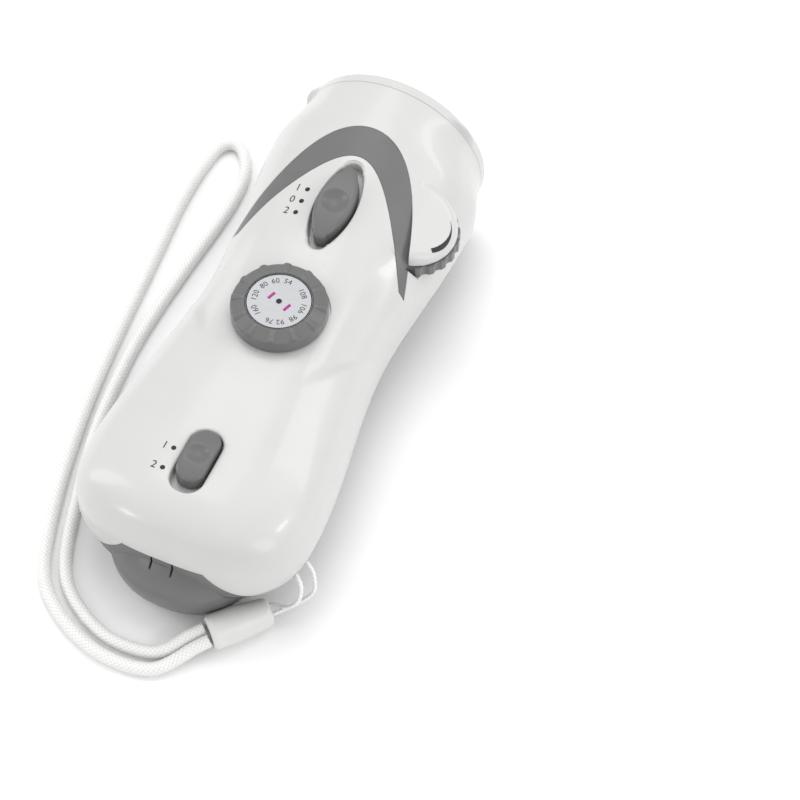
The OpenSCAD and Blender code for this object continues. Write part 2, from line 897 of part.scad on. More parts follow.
module knob_spindle() {
    color("#b9bdc1")
        difference() {
            union() {
                translate([-knob_d/2 + 0.2, hinge_y, knob_z])
                    rotate([0, 90, 0])
                        cylinder(h = knob_d - 0.4, r = 3.6);
                translate([0, hinge_y, knob_z])
                    rotate([-90, 0, 0]) {
                        cylinder(h = knob_start + knob_l - 1.8, r = 1.5);
                        cylinder(h = knob_start - 0.3, r = 2.9);
                        translate([0, 0, knob_start + knob_l - 1.8])
                            cylinder(h = 1.2, r = 2.6);
                    }
            }
            translate([-20, hinge_y, knob_z])
                rotate([0, 90, 0])
                    cylinder(h = 40, r = 1.2 + fit);
        }
}

module crank_knob() {
    color("#7d7d7d")
        translate([0, hinge_y + knob_start, knob_z])
            rotate([-90, 0, 0])
                difference() {
                    rotate_extrude($fn = 64)
                        difference() {
                            union() {
                                square([knob_d/2 - 1, knob_l]);
                                translate([0, 1])
                                    square([knob_d/2, knob_l - 2]);
                                for (y = [1, knob_l - 1])
                                    translate([knob_d/2 - 1, y])
                                        circle(1);
                            }
                            for (i = [1:4])
                                translate([knob_d/2 + 0.5, i*knob_l/5])
                                    circle(1);
                        }
                    translate([0, 0, -1])
                        cylinder(h = knob_l + 2, r = 1.5 + fit);
                    translate([0, 0, knob_l - 2.1])
                        cylinder(h = 4, r = 2.6 + fit);
                }
}

module speaker_frame() {
    color("#3a3c3f")
        translate([speaker_c[0], speaker_c[1], 12.6])
            difference() {
                union() {
                    cylinder(h = 1.2, r = speaker_r, $fn = 64);
                    cylinder(h = 4.4, r1 = speaker_r - 1.2, r2 = 9.8, $fn = 64);
                }
                translate([0, 0, -1])
                    cylinder(h = 1 + 1.3, r = speaker_r - 2.6, $fn = 64);
                translate([0, 0, 1.2])
                    cylinder(h = 2.6, r1 = speaker_r - 2.6, r2 = 8.6, $fn = 64);
                for (i = [0:3])
                    rotate([0, 0, 45 + 90*i])
                        translate([9.8, -2.4, 1.6])
                            cube([6, 4.8, 1.2]);
            }
}

module speaker_cone() {
    color("#26272a")
        translate([speaker_c[0], speaker_c[1], 12.7])
            rotate_extrude($fn = 64)
                polygon([[0, 0.9], [3.2, 1.4], [4, 2], [10.4, 0], [speaker_r - 2.7, 0],
                    [speaker_r - 2.7, 0.5], [10.6, 0.5], [4, 2.6], [0, 1.6]]);
}

module speaker_magnet() {
    color("#6b6e72")
        translate([speaker_c[0], speaker_c[1], 17]) {
            cylinder(h = 3, r = 8.5);
            cylinder(h = 4, r = 7.4);
        }
}

module battery_cells() {
    color("#4f8f5a")
        for (i = [-1:1])
            translate([10.7*i, cell_y, floor_z + 0.75 + cell_r])
                rotate([-90, 0, 0]) {
                    cylinder(h = cell_l - 1, r = cell_r);
                    cylinder(h = cell_l, r = 1.8);
                }
}

module battery_wrap() {
    color("#2d5fa8")
        translate([0, cell_y + 5, floor_z + 0.75 + cell_r])
            rotate([-90, 0, 0])
                linear_extrude(cell_l - 11)
                    difference() {
                        union() {
                            square([2*10.7, 2*cell_r + 0.6], center = true);
                            for (s = [-1, 1])
                                translate([s*10.7, 0])
                                    circle(cell_r + 0.3);
                        }
                        for (i = [-1:1])
                            translate([10.7*i, 0])
                                circle(cell_r);
                    }
}

module ferrite_rod() {
    color("#4a4a4c")
        translate([-15, rod_y, rod_z])
            rotate([0, 90, 0])
                cylinder(h = 30, r = rod_r);
}

module antenna_coil() {
    color("#c07a3a")
        translate([6, rod_y, rod_z])
            rotate([0, 90, 0])
                difference() {
                    union() {
                        cylinder(h = 6.4, r = rod_r + 0.25);
                        cylinder(h = 0.5, r = rod_r + 0.5);
                        translate([0, 0, 5.9])
                            cylinder(h = 0.5, r = rod_r + 0.5);
                    }
                    translate([0, 0, -1])
                        cylinder(h = 20, r = rod_r);
                }
}

module tuning_capacitor() {
    color("#d9d6c8")
        translate([0, dial_y, board_top])
            difference() {
                union() {
                    translate([-7.5, -7.5, 0])
                        cube([15, 15, 6]);
                    cylinder(h = 6.8, r = 4);
                }
                translate([0, 0, 2])
                    cylinder(h = 8, r = 2.4 + fit);
            }
}

module tuning_shaft() {
    color("#c9a24a")
        translate([0, dial_y, board_top + 2.2])
            cylinder(h = dial_z + dial_h - 1.7 - board_top - 2.2, r = 2.4);
}

module tuning_dial() {
    color("#767676")
        translate([0, dial_y, dial_z])
            difference() {
                union() {
                    rotate_extrude($fn = 96)
                        polygon([[0, 0], [dial_r - 0.3, 0], [dial_r, 0.3], [dial_r, dial_h - 1.4],
                            [dial_r - 0.4, dial_h - 0.9], [label_d/2 + 0.5, dial_h], [0, dial_h]]);
                    // ribs run up the sloping ring
                    for (i = [0:dial_ribs - 1])
                        rotate([0, 0, (i + 0.5)*360/dial_ribs])
                            translate([dial_r - 1, 0, dial_h - 1.1]) {
                                rotate([0, -71, 0])
                                    cylinder(h = 2.2, r1 = 0.9, r2 = 0.5, $fn = 24);
                                sphere(0.9, $fn = 24);
                            }
                }
                translate([0, 0, dial_h - 0.4])
                    cylinder(h = 2, r = label_d/2 + 0.2, $fn = 72);
                translate([0, 0, -1])
                    cylinder(h = dial_h - 0.6, r = 2.4);
            }
}

module dial_label() {
    color("#d5d6d8")
        translate([0, dial_y, dial_z + dial_h - 0.4])
            cylinder(h = 0.3, r = label_d/2, $fn = 72);
}

module volume_wheel() {
    color("#767676")
        translate([wheel_x, wheel_y, wheel_z])
            difference() {
                linear_extrude(wheel_t)
                    difference() {
                        circle(wheel_d/2, $fn = 96);
                        for (i = [0:wheel_lobes - 1])
                            rotate(360*i/wheel_lobes)
                                translate([wheel_d/2 + 1, 0])
                                    circle(1.5, $fn = 24);
                    }
                translate([0, 0, -1])
                    cylinder(h = 10, r = 2);
                translate([0, 0, wheel_t - 1])
                    cylinder(h = 4, r = 8);
            }
}

module volume_pot() {
    color("#3f5f86")
        translate([wheel_x, wheel_y, board_top])
            difference() {
                union() {
                    cylinder(h = 1.7, r = 4);
                    translate([-7.4, -2.5, 0])
                        cube([5, 5, 1.4]);
                }
                translate([0, 0, 0.5])
                    cylinder(h = 8, r = 2 + fit);
            }
}

module wheel_screw() {
    color("#b9bdc1")
        translate([wheel_x, wheel_y, board_top + 0.7]) {
            cylinder(h = wheel_z + wheel_t - 1 - board_top - 0.7, r = 2);
            translate([0, 0, wheel_z + wheel_t - 1 - board_top - 0.7])
                cylinder(h = 0.7, r = 3);
        }
}

module light_switch_button() {
    color("#767676")
        at_lamp()
            difference() {
                union() {
                    intersection() {
                        translate([0, 0, -2.9])
                            linear_extrude(5.6)
                                slot_outline(4.4, 12.3 - lamp_travel - 0.4, 1.8);
                        translate([-20, 0, -57.6])
                            rotate([0, 90, 0])
                                cylinder(h = 40, r = 60, $fn = 180);
                    }
                    translate([-1, -1.2, -8.6])
                        cube([2, 2.4, 6]);
                }
                translate([0, 0, 10.6])
                    sphere(9.2, $fn = 96);
            }
}

module light_switch_body() {
    color("#33353a")
        translate([0, lamp_y, board_top])
            difference() {
                translate([-4.5, -8.5, 0])
                    cube([9, 17, 6.6]);
                translate([-1.3, -7, 2.2])
                    cube([2.6, 14, 10]);
            }
}

module band_switch_button() {
    color("#767676")
        at_band()
            translate([0, band_travel/2, 0])
                difference() {
                    union() {
                        intersection() {
                            translate([0, 0, -2.8])
                                linear_extrude(4.8)
                                    stadium(3.5, 8.5 - band_travel/2 - 0.25, 3.3);
                            translate([-20, 0, -24.4])
                                rotate([0, 90, 0])
                                    cylinder(h = 40, r = 26, $fn = 128);
                        }
                        translate([-1, -1.2, -7.4])
                            cube([2, 2.4, 5]);
                    }
                    translate([0, 0, 8.6])
                        sphere(7.6, $fn = 96);
                }
}

module band_switch_body() {
    color("#33353a")
        translate([0, band_y, board_top])
            difference() {
                translate([-4.5, -6.5, 0])
                    cube([9, 13, 4]);
                translate([-1.3, -5, 1])
                    cube([2.6, 10, 10]);
            }
}

module usb_socket() {
    color("#c9ccd0")
        translate([-22.4, port_y - 3.75, board_z - 2.7])
            difference() {
                cube([5.6, 7.5, 2.7]);
                translate([-1, 0.4, 0.4])
                    cube([6, 6.7, 1.9]);
            }
}

module housing_screws() {
    color("#9aa0a6")
        for (p = post_xy)
            translate([p[0], p[1], deck_z])
                difference() {
                    union() {
                        cylinder(h = 1.4, r = 2.5);
                        cylinder(h = 9.4, r = 1.1);
                    }
                    for (a = [0, 90])
                        rotate([0, 0, a])
                            cube([3, 0.6, 1], center = true);
                }
}

// Cord as one tube swept along a smooth line through hand-placed points.
function spline(p, u) =
    let(n = len(p) - 1, i = min(n - 1, floor(u)), t = u - i, a = p[max(0, i - 1)], b = p[i], c = p[i + 1],
        d = p[min(n, i + 2)])
    0.5*(2*b + (c - a)*t + (2*a - 5*b + 4*c - d)*t*t + (3*b - a - 3*c + d)*t*t*t);
function unit(v) = v/norm(v);

module tube(route, d, rings) {
    n = len(route) - 1;
    pts = [for (i = [0:rings]) spline(route, n*i/rings)];
    rows = [for (i = [0:rings])
        let(t = unit(pts[min(rings, i + 1)] - pts[max(0, i - 1)]), s = unit(cross(t, [0, 0, 1])),
            u = cross(s, t))
        [for (j = [0:7]) pts[i] + d/2*(cos(45*j)*s + sin(45*j)*u)]];
    skin = [for (i = [0:rings - 1], j = [0:7], f = [0, 1])
        let(k = (j + 1) % 8)
        f == 0 ? [i*8 + j, (i + 1)*8 + k, i*8 + k] : [i*8 + j, (i + 1)*8 + j, (i + 1)*8 + k]];
    polyhedron([for (r = rows, p = r) p],
        concat(skin, [[for (j = [0:7]) j], [for (j = [7:-1:0]) rings*8 + j]]));
}

bead_r = bead_d/2;
bead_u = [cos(bead_dir), sin(bead_dir), 0];
bead_n = [-sin(bead_dir), cos(bead_dir), 0];
bead_b = bead_a + bead_l*bead_u;
lie = cord_d/2 + 0.1;
bead_s = cord_d/2 + 0.1;
cord_route = [
    bead_a - 0.4*bead_u - bead_s*bead_n, bead_a - 4*bead_u - bead_s*bead_n - [0, 0, 0.8],
    [4, -80, lie], [-9, -81, lie],
    [-22, -75.5, lie], [-30.5, -66.5, lie], [-36.5, -49, lie], [-41.5, -27, lie], [-44.5, -5.5, lie],
    [-47, 21, lie], [-49, 44, lie], [-48, 60.5, lie], [-43.5, 64, lie], [-38.5, 58, lie], [-37, 46, lie],
    [-38.5, 25, lie], [-39.5, 9.5, lie], [-39.5, -6, lie], [-37, -27.5, lie], [-32, -47.5, lie],
    [-26.5, -63.5, lie], [-19.5, -71.5, lie], [-8.5, -76.6, lie], [3, -75.6, lie],
    bead_a - 4*bead_u + bead_s*bead_n - [0, 0, 0.8], bead_a - 0.4*bead_u + bead_s*bead_n];
hole_m = (hole_a + hole_b)/2;
tie_route = [
    bead_b - 3*bead_u + [0.7, -0.8, 0], bead_b + 1*bead_u + [0.8, -0.8, 0.3], [28.4, -53, 6],
    [31.4, -50.4, 9.4], [30.4, -48.2, 13.4], hole_b + 1.6*hole_d, hole_b, hole_b - 2.4*hole_d,
    hole_m - 4.4*hole_d, hole_a - 2.4*hole_d, hole_a, hole_a + 1.6*hole_d,
    [29.4, -52.6, 13.2], [29.2, -54.2, 9.4], [26.6, -55, 6], bead_b + 1*bead_u + [-0.6, 0.8, 0.5],
    bead_b - 3*bead_u + [-0.7, 0.8, 0]];

module strap_cord() {
    color("#eeeeec")
        tube(cord_route, cord_d, 78);
}

module strap_loop() {
    color("#eeeeec")
        tube(tie_route, tie_d, 48);
}

module strap_bead() {
    color("#f1f1ee")
        translate(bead_a)
            rotate([0, 90, bead_dir])
                difference() {
                    rotate_extrude($fn = 48)
                        polygon([[0, 0], [bead_r - 0.9, 0], [bead_r - 0.25, 0.4], [bead_r, 1.2],
                            [bead_r, 0.45*bead_l], [bead_r - 0.8, bead_l - 1.2], [bead_r - 1.1, bead_l - 0.4],
                            [bead_r - 1.8, bead_l], [0, bead_l]]);
                    translate([0, 0, -1])
                        cylinder(h = bead_l + 2, r = bead_r - 2.2);
                }
}

upper_shell();
lower_shell();
accent_arc();
front_bezel();
lens();
reflector();
leds();
led_board();
main_board();
board_screws();
crank_gear();
idler_gear_1();
idler_gear_2();
gear_pins();
gearbox_plate();
gearbox_screws();
dynamo_housing();
dynamo_coil();
dynamo_rotor();
rotor_shaft();
crank_shaft();
crank_bush();
crank_arm();
crank_screw();
knob_hinge_pin();
knob_spindle();
crank_knob();
speaker_frame();
speaker_cone();
speaker_magnet();
battery_cells();
battery_wrap();
ferrite_rod();
antenna_coil();
tuning_capacitor();
tuning_shaft();
tuning_dial();
dial_label();
volume_wheel();
volume_pot();
wheel_screw();
light_switch_button();
light_switch_body();
band_switch_button();
band_switch_body();
usb_socket();
port_cover();
housing_screws();
strap_cord();
strap_loop();
strap_bead();
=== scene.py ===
"""Looks of a hand-crank torch radio: shells, printed marks, braided strap, materials and a studio."""

import math

import bmesh
import bpy
import numpy as np
from bpy.props import FloatProperty, FloatVectorProperty, IntProperty, PointerProperty
from mathutils import Matrix, Vector


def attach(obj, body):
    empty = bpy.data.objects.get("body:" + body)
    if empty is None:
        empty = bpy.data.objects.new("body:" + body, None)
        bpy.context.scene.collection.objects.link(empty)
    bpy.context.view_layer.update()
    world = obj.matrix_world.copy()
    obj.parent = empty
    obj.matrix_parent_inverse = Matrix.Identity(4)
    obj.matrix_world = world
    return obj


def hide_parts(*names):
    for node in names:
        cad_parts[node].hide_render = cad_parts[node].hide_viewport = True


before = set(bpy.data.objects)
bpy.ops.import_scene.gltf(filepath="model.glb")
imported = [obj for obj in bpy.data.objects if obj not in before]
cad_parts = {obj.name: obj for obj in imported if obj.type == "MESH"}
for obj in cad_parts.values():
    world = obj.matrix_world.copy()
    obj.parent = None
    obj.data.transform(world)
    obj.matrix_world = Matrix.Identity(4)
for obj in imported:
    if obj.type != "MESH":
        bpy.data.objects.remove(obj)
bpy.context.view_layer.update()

bl_info = {
    "name": "Crank torch looks",
    "version": (1, 0, 0),
    "blender": (4, 5, 0),
    "location": "View3D > Sidebar > Torch",
    "description": "Adds the visible skins, prints, strap, materials and studio of a crank torch",
    "category": "Add Mesh",
}

MM = 0.001

# The photograph's view in degrees, and half the side of the floor in metres.
VIEW_AZ, VIEW_EL, FLOOR = 24.0, 57.0, 3.0

# Body sizes in millimetres, the same as the solid model's.
BODY_L = 135.0
TAIL_W, WAIST_W, HEAD_W = 57.6, 46.8, 53.6
RIM_R = 23.6
TAIL_H, NOSE_H = 35.5, 46.0
WALL, SCOOP = 1.8, 2.6
TAIL_Y, FRONT_Y = -63.5, 64.5
TAIL_FULL_Y, TAIL_TOP_Y = -42.0, -48.0
WAIST_Y, HEAD_Y, FLARE_Y = 8.0, 52.0, 44.0
RISE_Y, RISE_POWER, TAIL_POWER = -46.0, 2.4, 2.75
LIFT_Y, SQUARE_Y, SQUARE_TOP, SQUARE_LOW, ROUND = 20.0, -10.0, 2.7, 3.4, 2.0
DECK_Z, PARTING_Z, MID_Z = 10.0, 13.0, 19.5
RIM_Z = NOSE_H - RIM_R
SEAM, SEAM_TOP = 0.15, 22.0
SEAM_X, SEAM_R, SEAM_Y = 26.8, 20.0, TAIL_Y + 19.1
FOOT_Y = TAIL_Y + 17.0
DIAL_Y, DIAL_R, DIAL_H, LABEL_R = 0.0, 11.4, 4.6, 7.8
LAMP_Y, BAND_Y, LAMP_TRAVEL, BAND_TRAVEL = 31.0, -43.7, 1.7, 2.4
LAMP_SLOT_L, BAND_SLOT_L = 12.3, 8.5
DIAL_SINK, WELL_TOP, POCKET_T = 0.4, -0.9, 1.25
WHEEL, WHEEL_R = (17.984, 37.0, 28.6, 3.2), 10.8
HOOD_R, HOOD_EDGE = 10.2, 1.8
HOOD_AT, HOOD_SLOPE, HOOD_BOW = (19.327, 36.488, 36.734), (-0.2867, 0.1093), (19.0, 0.12)
LUG_R, LUG_H = 9.0, 1.3
PORT_Y, COVER_HALF, COVER_Z, COVER_H, BOARD_Z = -24.0, 6.2, 18.4, 6.6, 25.0
ARC_FRONT, ARC_BACK = FRONT_Y - 11.4, FRONT_Y - 19.5
CHIN_W, CHIN_WIDEST, CHIN_TOP = 18.8, 12.0, 20.0
SCOOP_X, SCOOP_BACK, SCOOP_FRONT = 12.0, -17.0, 32.0
STEM_X, STEM_Y, LUG_ANGLES, GRILLE_Y = 1.0, 1.2, (41, 161, 281), 28.3
POSTS = ((21, -36), (-21, -36), (17.4, 17.5), (-17.4, 17.5))
HOLES, HOLE_AIM = ((26.3, -50.2, 15), (27.0, -46.2, 15)), 32.0

# The scene's own: softness of joins and rims, lift of the prints, arc of the tail's rows in degrees,
# and the marks beside the switches with their places along the body.
DISH_BLEND, BUTTON_RIM, HOOD_BLEND, PRINT_LIFT, TAIL_ARC = 0.16, 0.75, 1.6, 0.03, 88.5
LIGHT_MARKS = (("1", 32.9), ("0", 29.5), ("2", 26.2))
BAND_MARKS = (("1", -42.6), ("2", -48.2))

# Strap: the same route as the solid model's. The skins are drawn a little thinner than the solids.
CORD_D, TIE_D = 3.2, 1.2
CORD_SLACK, TIE_SLACK = 0.04, 0.18
BEAD_A, BEAD_DIR, BEAD_L = (12.9, -67.6, 4.4), 47.0, 15.0


def mix(a, b, t):
    return a + (b - a) * t


def smooth(t):
    c = np.clip(t, 0.0, 1.0)
    return c * c * (3 - 2 * c)


def spow(v, e):
    return np.sign(v) * np.abs(v) ** e


def polar(r, a, cx=0.0, cy=0.0):
    return cx + r * math.cos(a), cy + r * math.sin(a)


def soft_max(a, b, width):
    """The larger of two heights, with a round join of a given width between them."""
    h = min(1.0, max(0.0, 0.5 + 0.5 * (a - b) / width))
    return mix(b, a, h) + width * h * (1 - h)


def shift(*at):
    return Matrix.Translation(at)


def turn(angle, axis):
    return Matrix.Rotation(angle, 4, axis)


# The body's half width, top and bottom along its length, and the powers of its section, where 2 is round.

def half_width(y):
    if y < WAIST_Y:
        return mix(TAIL_W, WAIST_W, smooth((y - TAIL_FULL_Y) / (WAIST_Y - TAIL_FULL_Y))) / 2
    if y < HEAD_Y:
        return mix(WAIST_W, HEAD_W, smooth((y - WAIST_Y) / (HEAD_Y - WAIST_Y))) / 2
    return mix(HEAD_W / 2, RIM_R, smooth((y - HEAD_Y) / (FRONT_Y - HEAD_Y)))


def tail_round(y, start, end):
    s = min(1.0, max(0.0, (start - y) / (start - end)))
    return (1 - s ** TAIL_POWER) ** (1 / TAIL_POWER)


def top_z(y):
    return TAIL_H + (NOSE_H - TAIL_H) * max(0.0, (y - RISE_Y) / (FRONT_Y - RISE_Y)) ** RISE_POWER


def bottom_z(y):
    return mix(DECK_Z, RIM_Z - RIM_R, smooth((y - FLARE_Y) / (FRONT_Y - FLARE_Y)))


def middle_z(y):
    return mix(MID_Z, RIM_Z, smooth((y - LIFT_Y) / (FRONT_Y - LIFT_Y)))


def n_top(y):
    return mix(SQUARE_TOP, ROUND, smooth((y - SQUARE_Y) / (FRONT_Y - SQUARE_Y)))


def n_bottom(y):
    return mix(SQUARE_LOW, ROUND, smooth((y - FLARE_Y) / (FRONT_Y - FLARE_Y)))


def scoop(x, y):
    """Depth of the hollows on both sides of the raised middle."""
    out = np.abs(x) - SCOOP_X
    side, back, front = out / 7, (y - SCOOP_BACK - 1.4 * out) / 5, (SCOOP_FRONT - y) / 20
    return SCOOP * smooth(side) * smooth(back) * smooth(front)


def section(y, t):
    """Half width, middle height and depth below it, inside a wall of thickness t."""
    m = middle_z(y)
    return (half_width(y) - t) * tail_round(y, TAIL_FULL_Y, TAIL_Y + t), m, m - bottom_z(y) - t


def top_row(y, t, n, low=PARTING_Z):
    w, m, hl = section(y, t)
    hu = (top_z(y) - t - m) * tail_round(y, TAIL_TOP_Y, TAIL_Y + t)
    t0 = math.asin(min(1.0, ((m - low) / hl) ** (n_bottom(y) / 2)))
    a = np.linspace(-t0, math.pi + t0, n + 1)
    up = np.sin(a) >= 0
    e = np.where(up, 2 / n_top(y), 2 / n_bottom(y))
    x = w * spow(np.cos(a), e)
    z = m + np.where(up, hu, hl) * spow(np.sin(a), e)
    z = z - np.where(up, scoop(x, y) * np.sin(a), 0)
    z[0] = z[-1] = low
    return np.stack([x, np.full(n + 1, y), z], 1)


def low_row(y, t, n, high):
    w, m, hl = section(y, t)
    e = 2 / n_bottom(y)
    t0 = math.asin(min(1.0, ((m - high) / hl) ** (1 / e)))
    a = np.linspace(math.pi + t0, math.tau - t0, n + 1)
    x = w * spow(np.cos(a), e)
    z = m + hl * spow(np.sin(a), e)
    z[0] = z[-1] = high
    return np.stack([x, np.full(n + 1, y), z], 1)


def surface_z(x, y):
    """Height of the shell's top over a point."""
    w, m, _ = section(y, 0)
    hu = (top_z(y) - m) * tail_round(y, TAIL_TOP_Y, TAIL_Y)
    c = min(1.0, (abs(x) / w) ** (n_top(y) / 2))
    s = math.sqrt(1 - c * c)
    return m + hu * s ** (2 / n_top(y)) - scoop(x, y) * s


def stations(t, tail_n, n, to):
    """Places of the rows along the body, closer together towards the end of the tail."""
    tail = [TAIL_FULL_Y - (TAIL_FULL_Y - TAIL_Y - t) * math.sin(math.radians(TAIL_ARC * (1 - i / tail_n)))
            for i in range(tail_n + 1)]
    return tail + [mix(TAIL_FULL_Y, to, i / n) for i in range(1, n + 1)]


# Meshes in millimetres, joined and cut as solids, then brought to metres.

def place(name, data):
    obj = bpy.data.objects.new(name, data)
    bpy.context.scene.collection.objects.link(obj)
    return obj


def solid(name, verts, faces, closed=True):
    mesh = bpy.data.meshes.new(name)
    mesh.from_pydata([tuple(map(float, v)) for v in verts], [], faces)
    bm = bmesh.new()
    bm.from_mesh(mesh)
    bmesh.ops.remove_doubles(bm, verts=bm.verts, dist=1e-5)
    bmesh.ops.recalc_face_normals(bm, faces=bm.faces)
    if closed and not all(e.is_manifold for e in bm.edges):
        raise RuntimeError(name + " is not closed")
    bm.to_mesh(mesh)
    bm.free()
    return place(name, mesh)


def tube_faces(rings, n):
    """Quads between rings of n points each."""
    return [(i * n + k, i * n + (k + 1) % n, (i + 1) * n + (k + 1) % n, (i + 1) * n + k)
            for i in range(rings - 1) for k in range(n)]


def loft(name, rows):
    m, w = len(rows) - 1, len(rows[0])
    n = w - 1
    faces = [(i * w + j, i * w + j + 1, (i + 1) * w + j + 1, (i + 1) * w + j)
             for i in range(m) for j in range(n)]
    faces += [(i * w, (i + 1) * w, (i + 1) * w + n, i * w + n) for i in range(m)]
    for base in (0, m * w):
        for j in range(n // 2):
            strip = [base + j, base + j + 1, base + n - j - 1, base + n - j]
            faces.append(tuple(dict.fromkeys(strip)))
    return solid(name, np.concatenate(rows), faces)


def prism(name, points, z0, z1, matrix=None):
    n = len(points)
    verts = [(x, y, z0) for x, y in points] + [(x, y, z1) for x, y in points]
    faces = [tuple(range(n))[::-1], tuple(range(n, 2 * n))]
    faces += [(i, (i + 1) % n, n + (i + 1) % n, n + i) for i in range(n)]
    obj = solid(name, verts, faces)
    if matrix is not None:
        obj.data.transform(matrix)
    return obj


def disc(r, cx=0.0, cy=0.0, n=96):
    return [polar(r, math.tau * i / n, cx, cy) for i in range(n)]


def rect(x0, y0, x1, y1):
    return [(x0, y0), (x1, y0), (x1, y1), (x0, y1)]


def combine(a, b, how):
    """Boolean of two solids; b is used up."""
    mod = a.modifiers.new("join", "BOOLEAN")
    mod.operation = how
    mod.solver = "MANIFOLD"
    mod.object = b
    bpy.context.view_layer.update()
    graph = bpy.context.evaluated_depsgraph_get()
    mesh = bpy.data.meshes.new_from_object(a.evaluated_get(graph))
    a.modifiers.clear()
    a.data = mesh
    bpy.data.objects.remove(b)
    if not len(mesh.polygons):
        raise RuntimeError("the solids of " + a.name + " did not combine")
    return a


def cut(a, *tools):
    for tool in tools:
        combine(a, tool, "DIFFERENCE")
    return a


def finish_piece(obj, body, material, nodes=(), angle=32, scale=MM):
    """Brings a piece to metres, shades it and puts it on its body."""
    if scale != 1:
        obj.data.transform(Matrix.Scale(scale, 4))
    obj.data.materials.clear()
    obj.data.materials.append(material)
    for p in obj.data.polygons:
        p.use_smooth = True
    if angle:
        obj.data.set_sharp_from_angle(angle=math.radians(angle))
    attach(obj, body)
    if nodes:
        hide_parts(*nodes)
    return obj


def slot_outline(half_w, half_l, r, n=24):
    """Almond outline: two wide arcs closed by round ends."""
    e = half_l - r
    off = e * e / (2 * (half_w - r)) - (half_w - r) / 2
    big = off + half_w
    side = [(-off + math.sqrt(big * big - y * y), y) for y in np.linspace(-e, e, n)]
    top = [polar(r, a, 0, e) for a in np.linspace(0, math.pi, n)[1:-1]]
    right = side + top
    return right + [(-x, -y) for x, y in right]


def round_rect(half_w, half_l, r, n=12):
    pts = []
    for sx, sy, a0 in ((1, -1, -90), (1, 1, 0), (-1, 1, 90), (-1, -1, 180)):
        for a in np.linspace(a0, a0 + 90, n):
            pts.append(polar(r, math.radians(a), sx * (half_w - r), sy * (half_l - r)))
    return pts


def arc_band(g):
    """Accent arc seen from above, grown by g: a bowed front edge and a hyperbola behind it."""
    ox, ix, n = 22.4 + g, 21.1 - g, 81
    front, back = ARC_FRONT + g, ARC_BACK - g
    outer = [(x, front - 0.0386 * x * x - 0.000053 * x ** 4) for x in np.linspace(-ox, ox, n)]
    inner = [(x, back - 2 * (math.sqrt(x * x + 144) - 12)) for x in np.linspace(ix, -ix, n)]
    return outer + inner


def seam_shape(g, deep, y_end):
    """Tail seam along Y: a raised middle between two hollow corners, with the region below it."""
    pts = [(-SEAM_X, PARTING_Z - deep), (SEAM_X, PARTING_Z - deep)]
    r, mid = SEAM_R - g, PARTING_Z - 0.1 + SEAM_R
    a0 = math.asin((SEAM_TOP + g - mid) / r)
    right = [polar(r, a, SEAM_X, mid) for a in np.linspace(-math.pi / 2, -math.pi - a0, 40)]
    pts += right + [(-x, z) for x, z in reversed(right)]
    return prism("seam", pts, 0, 24, shift(0, y_end, 0) @ turn(math.pi / 2, "X"))


def chin(t=0.0):
    """Tail foot below the deck: rounded plan, bulging to the rear, flat front and bottom."""
    front, rows, squarish = FOOT_Y - t, [], 0.85
    a = np.linspace(math.pi, math.tau, 65)
    below = CHIN_WIDEST * (1 - np.cos(np.linspace(0, math.pi / 2, 20)))
    for z in np.concatenate([below, np.linspace(CHIN_WIDEST + 0.6, CHIN_TOP, 12)]):
        if z < CHIN_WIDEST:
            f = 0.66 + 0.34 * math.sqrt(1 - (1 - z / CHIN_WIDEST) ** 2)
        else:
            f = 1 - 0.19 * ((z - CHIN_WIDEST) / (CHIN_TOP - CHIN_WIDEST)) ** 2
        x = (CHIN_W * f - t) * spow(np.cos(a), squarish)
        y = front + ((BODY_L / 2 + FOOT_Y) * f - 2 * t) * spow(np.sin(a), squarish)
        rows.append(np.stack([x, y, np.full(len(a), z + (t if z < 1e-6 else 0))], 1))
    return loft("chin", rows)


def hood_top(x, y):
    """Height of the hood's skin: its sloping top with a round edge, smoothly joined to the shell."""
    out = max(0.0, math.hypot(x - WHEEL[0], y - WHEEL[1]) - HOOD_R + HOOD_EDGE)
    drop = HOOD_EDGE - math.sqrt(max(0.0, HOOD_EDGE ** 2 - out ** 2))
    drop += HOOD_BOW[1] * max(0.0, HOOD_BOW[0] - x) ** 2
    plane = HOOD_AT[2] + HOOD_SLOPE[0] * (x - HOOD_AT[0]) + HOOD_SLOPE[1] * (y - HOOD_AT[1])
    return soft_max(plane - drop, surface_z(x, y) - 0.05, HOOD_BLEND)


def hood():
    """Hood over the volume wheel: a rounded disc whose top runs smoothly into the shell."""
    cx, cy, z, t = WHEEL
    z0, n, flat = z + t + 0.25, 144, HOOD_R - HOOD_EDGE
    radii = list(np.linspace(0, flat, 22)[1:])
    radii += [flat + HOOD_EDGE * math.sin(a) for a in np.linspace(0, math.pi / 2, 12)[1:]]
    verts = [(cx, cy, hood_top(cx, cy))]
    for r in radii:
        verts += [(x, y, max(z0 + 0.2, hood_top(x, y))) for x, y in disc(r, cx, cy, n)]
    rim = len(verts)
    verts += [(x, y, z0) for x, y, _ in verts[-n:]]
    faces = [(0, 1 + k, 1 + (k + 1) % n) for k in range(n)]
    faces += [tuple(1 + v for v in face) for face in tube_faces(len(radii) + 1, n)]
    faces.append(tuple(range(rim, rim + n)))
    return cut(solid("hood", verts, faces), prism("half", rect(cx - 20, cy - 20, cx - 4, cy + 20), 0, 60))


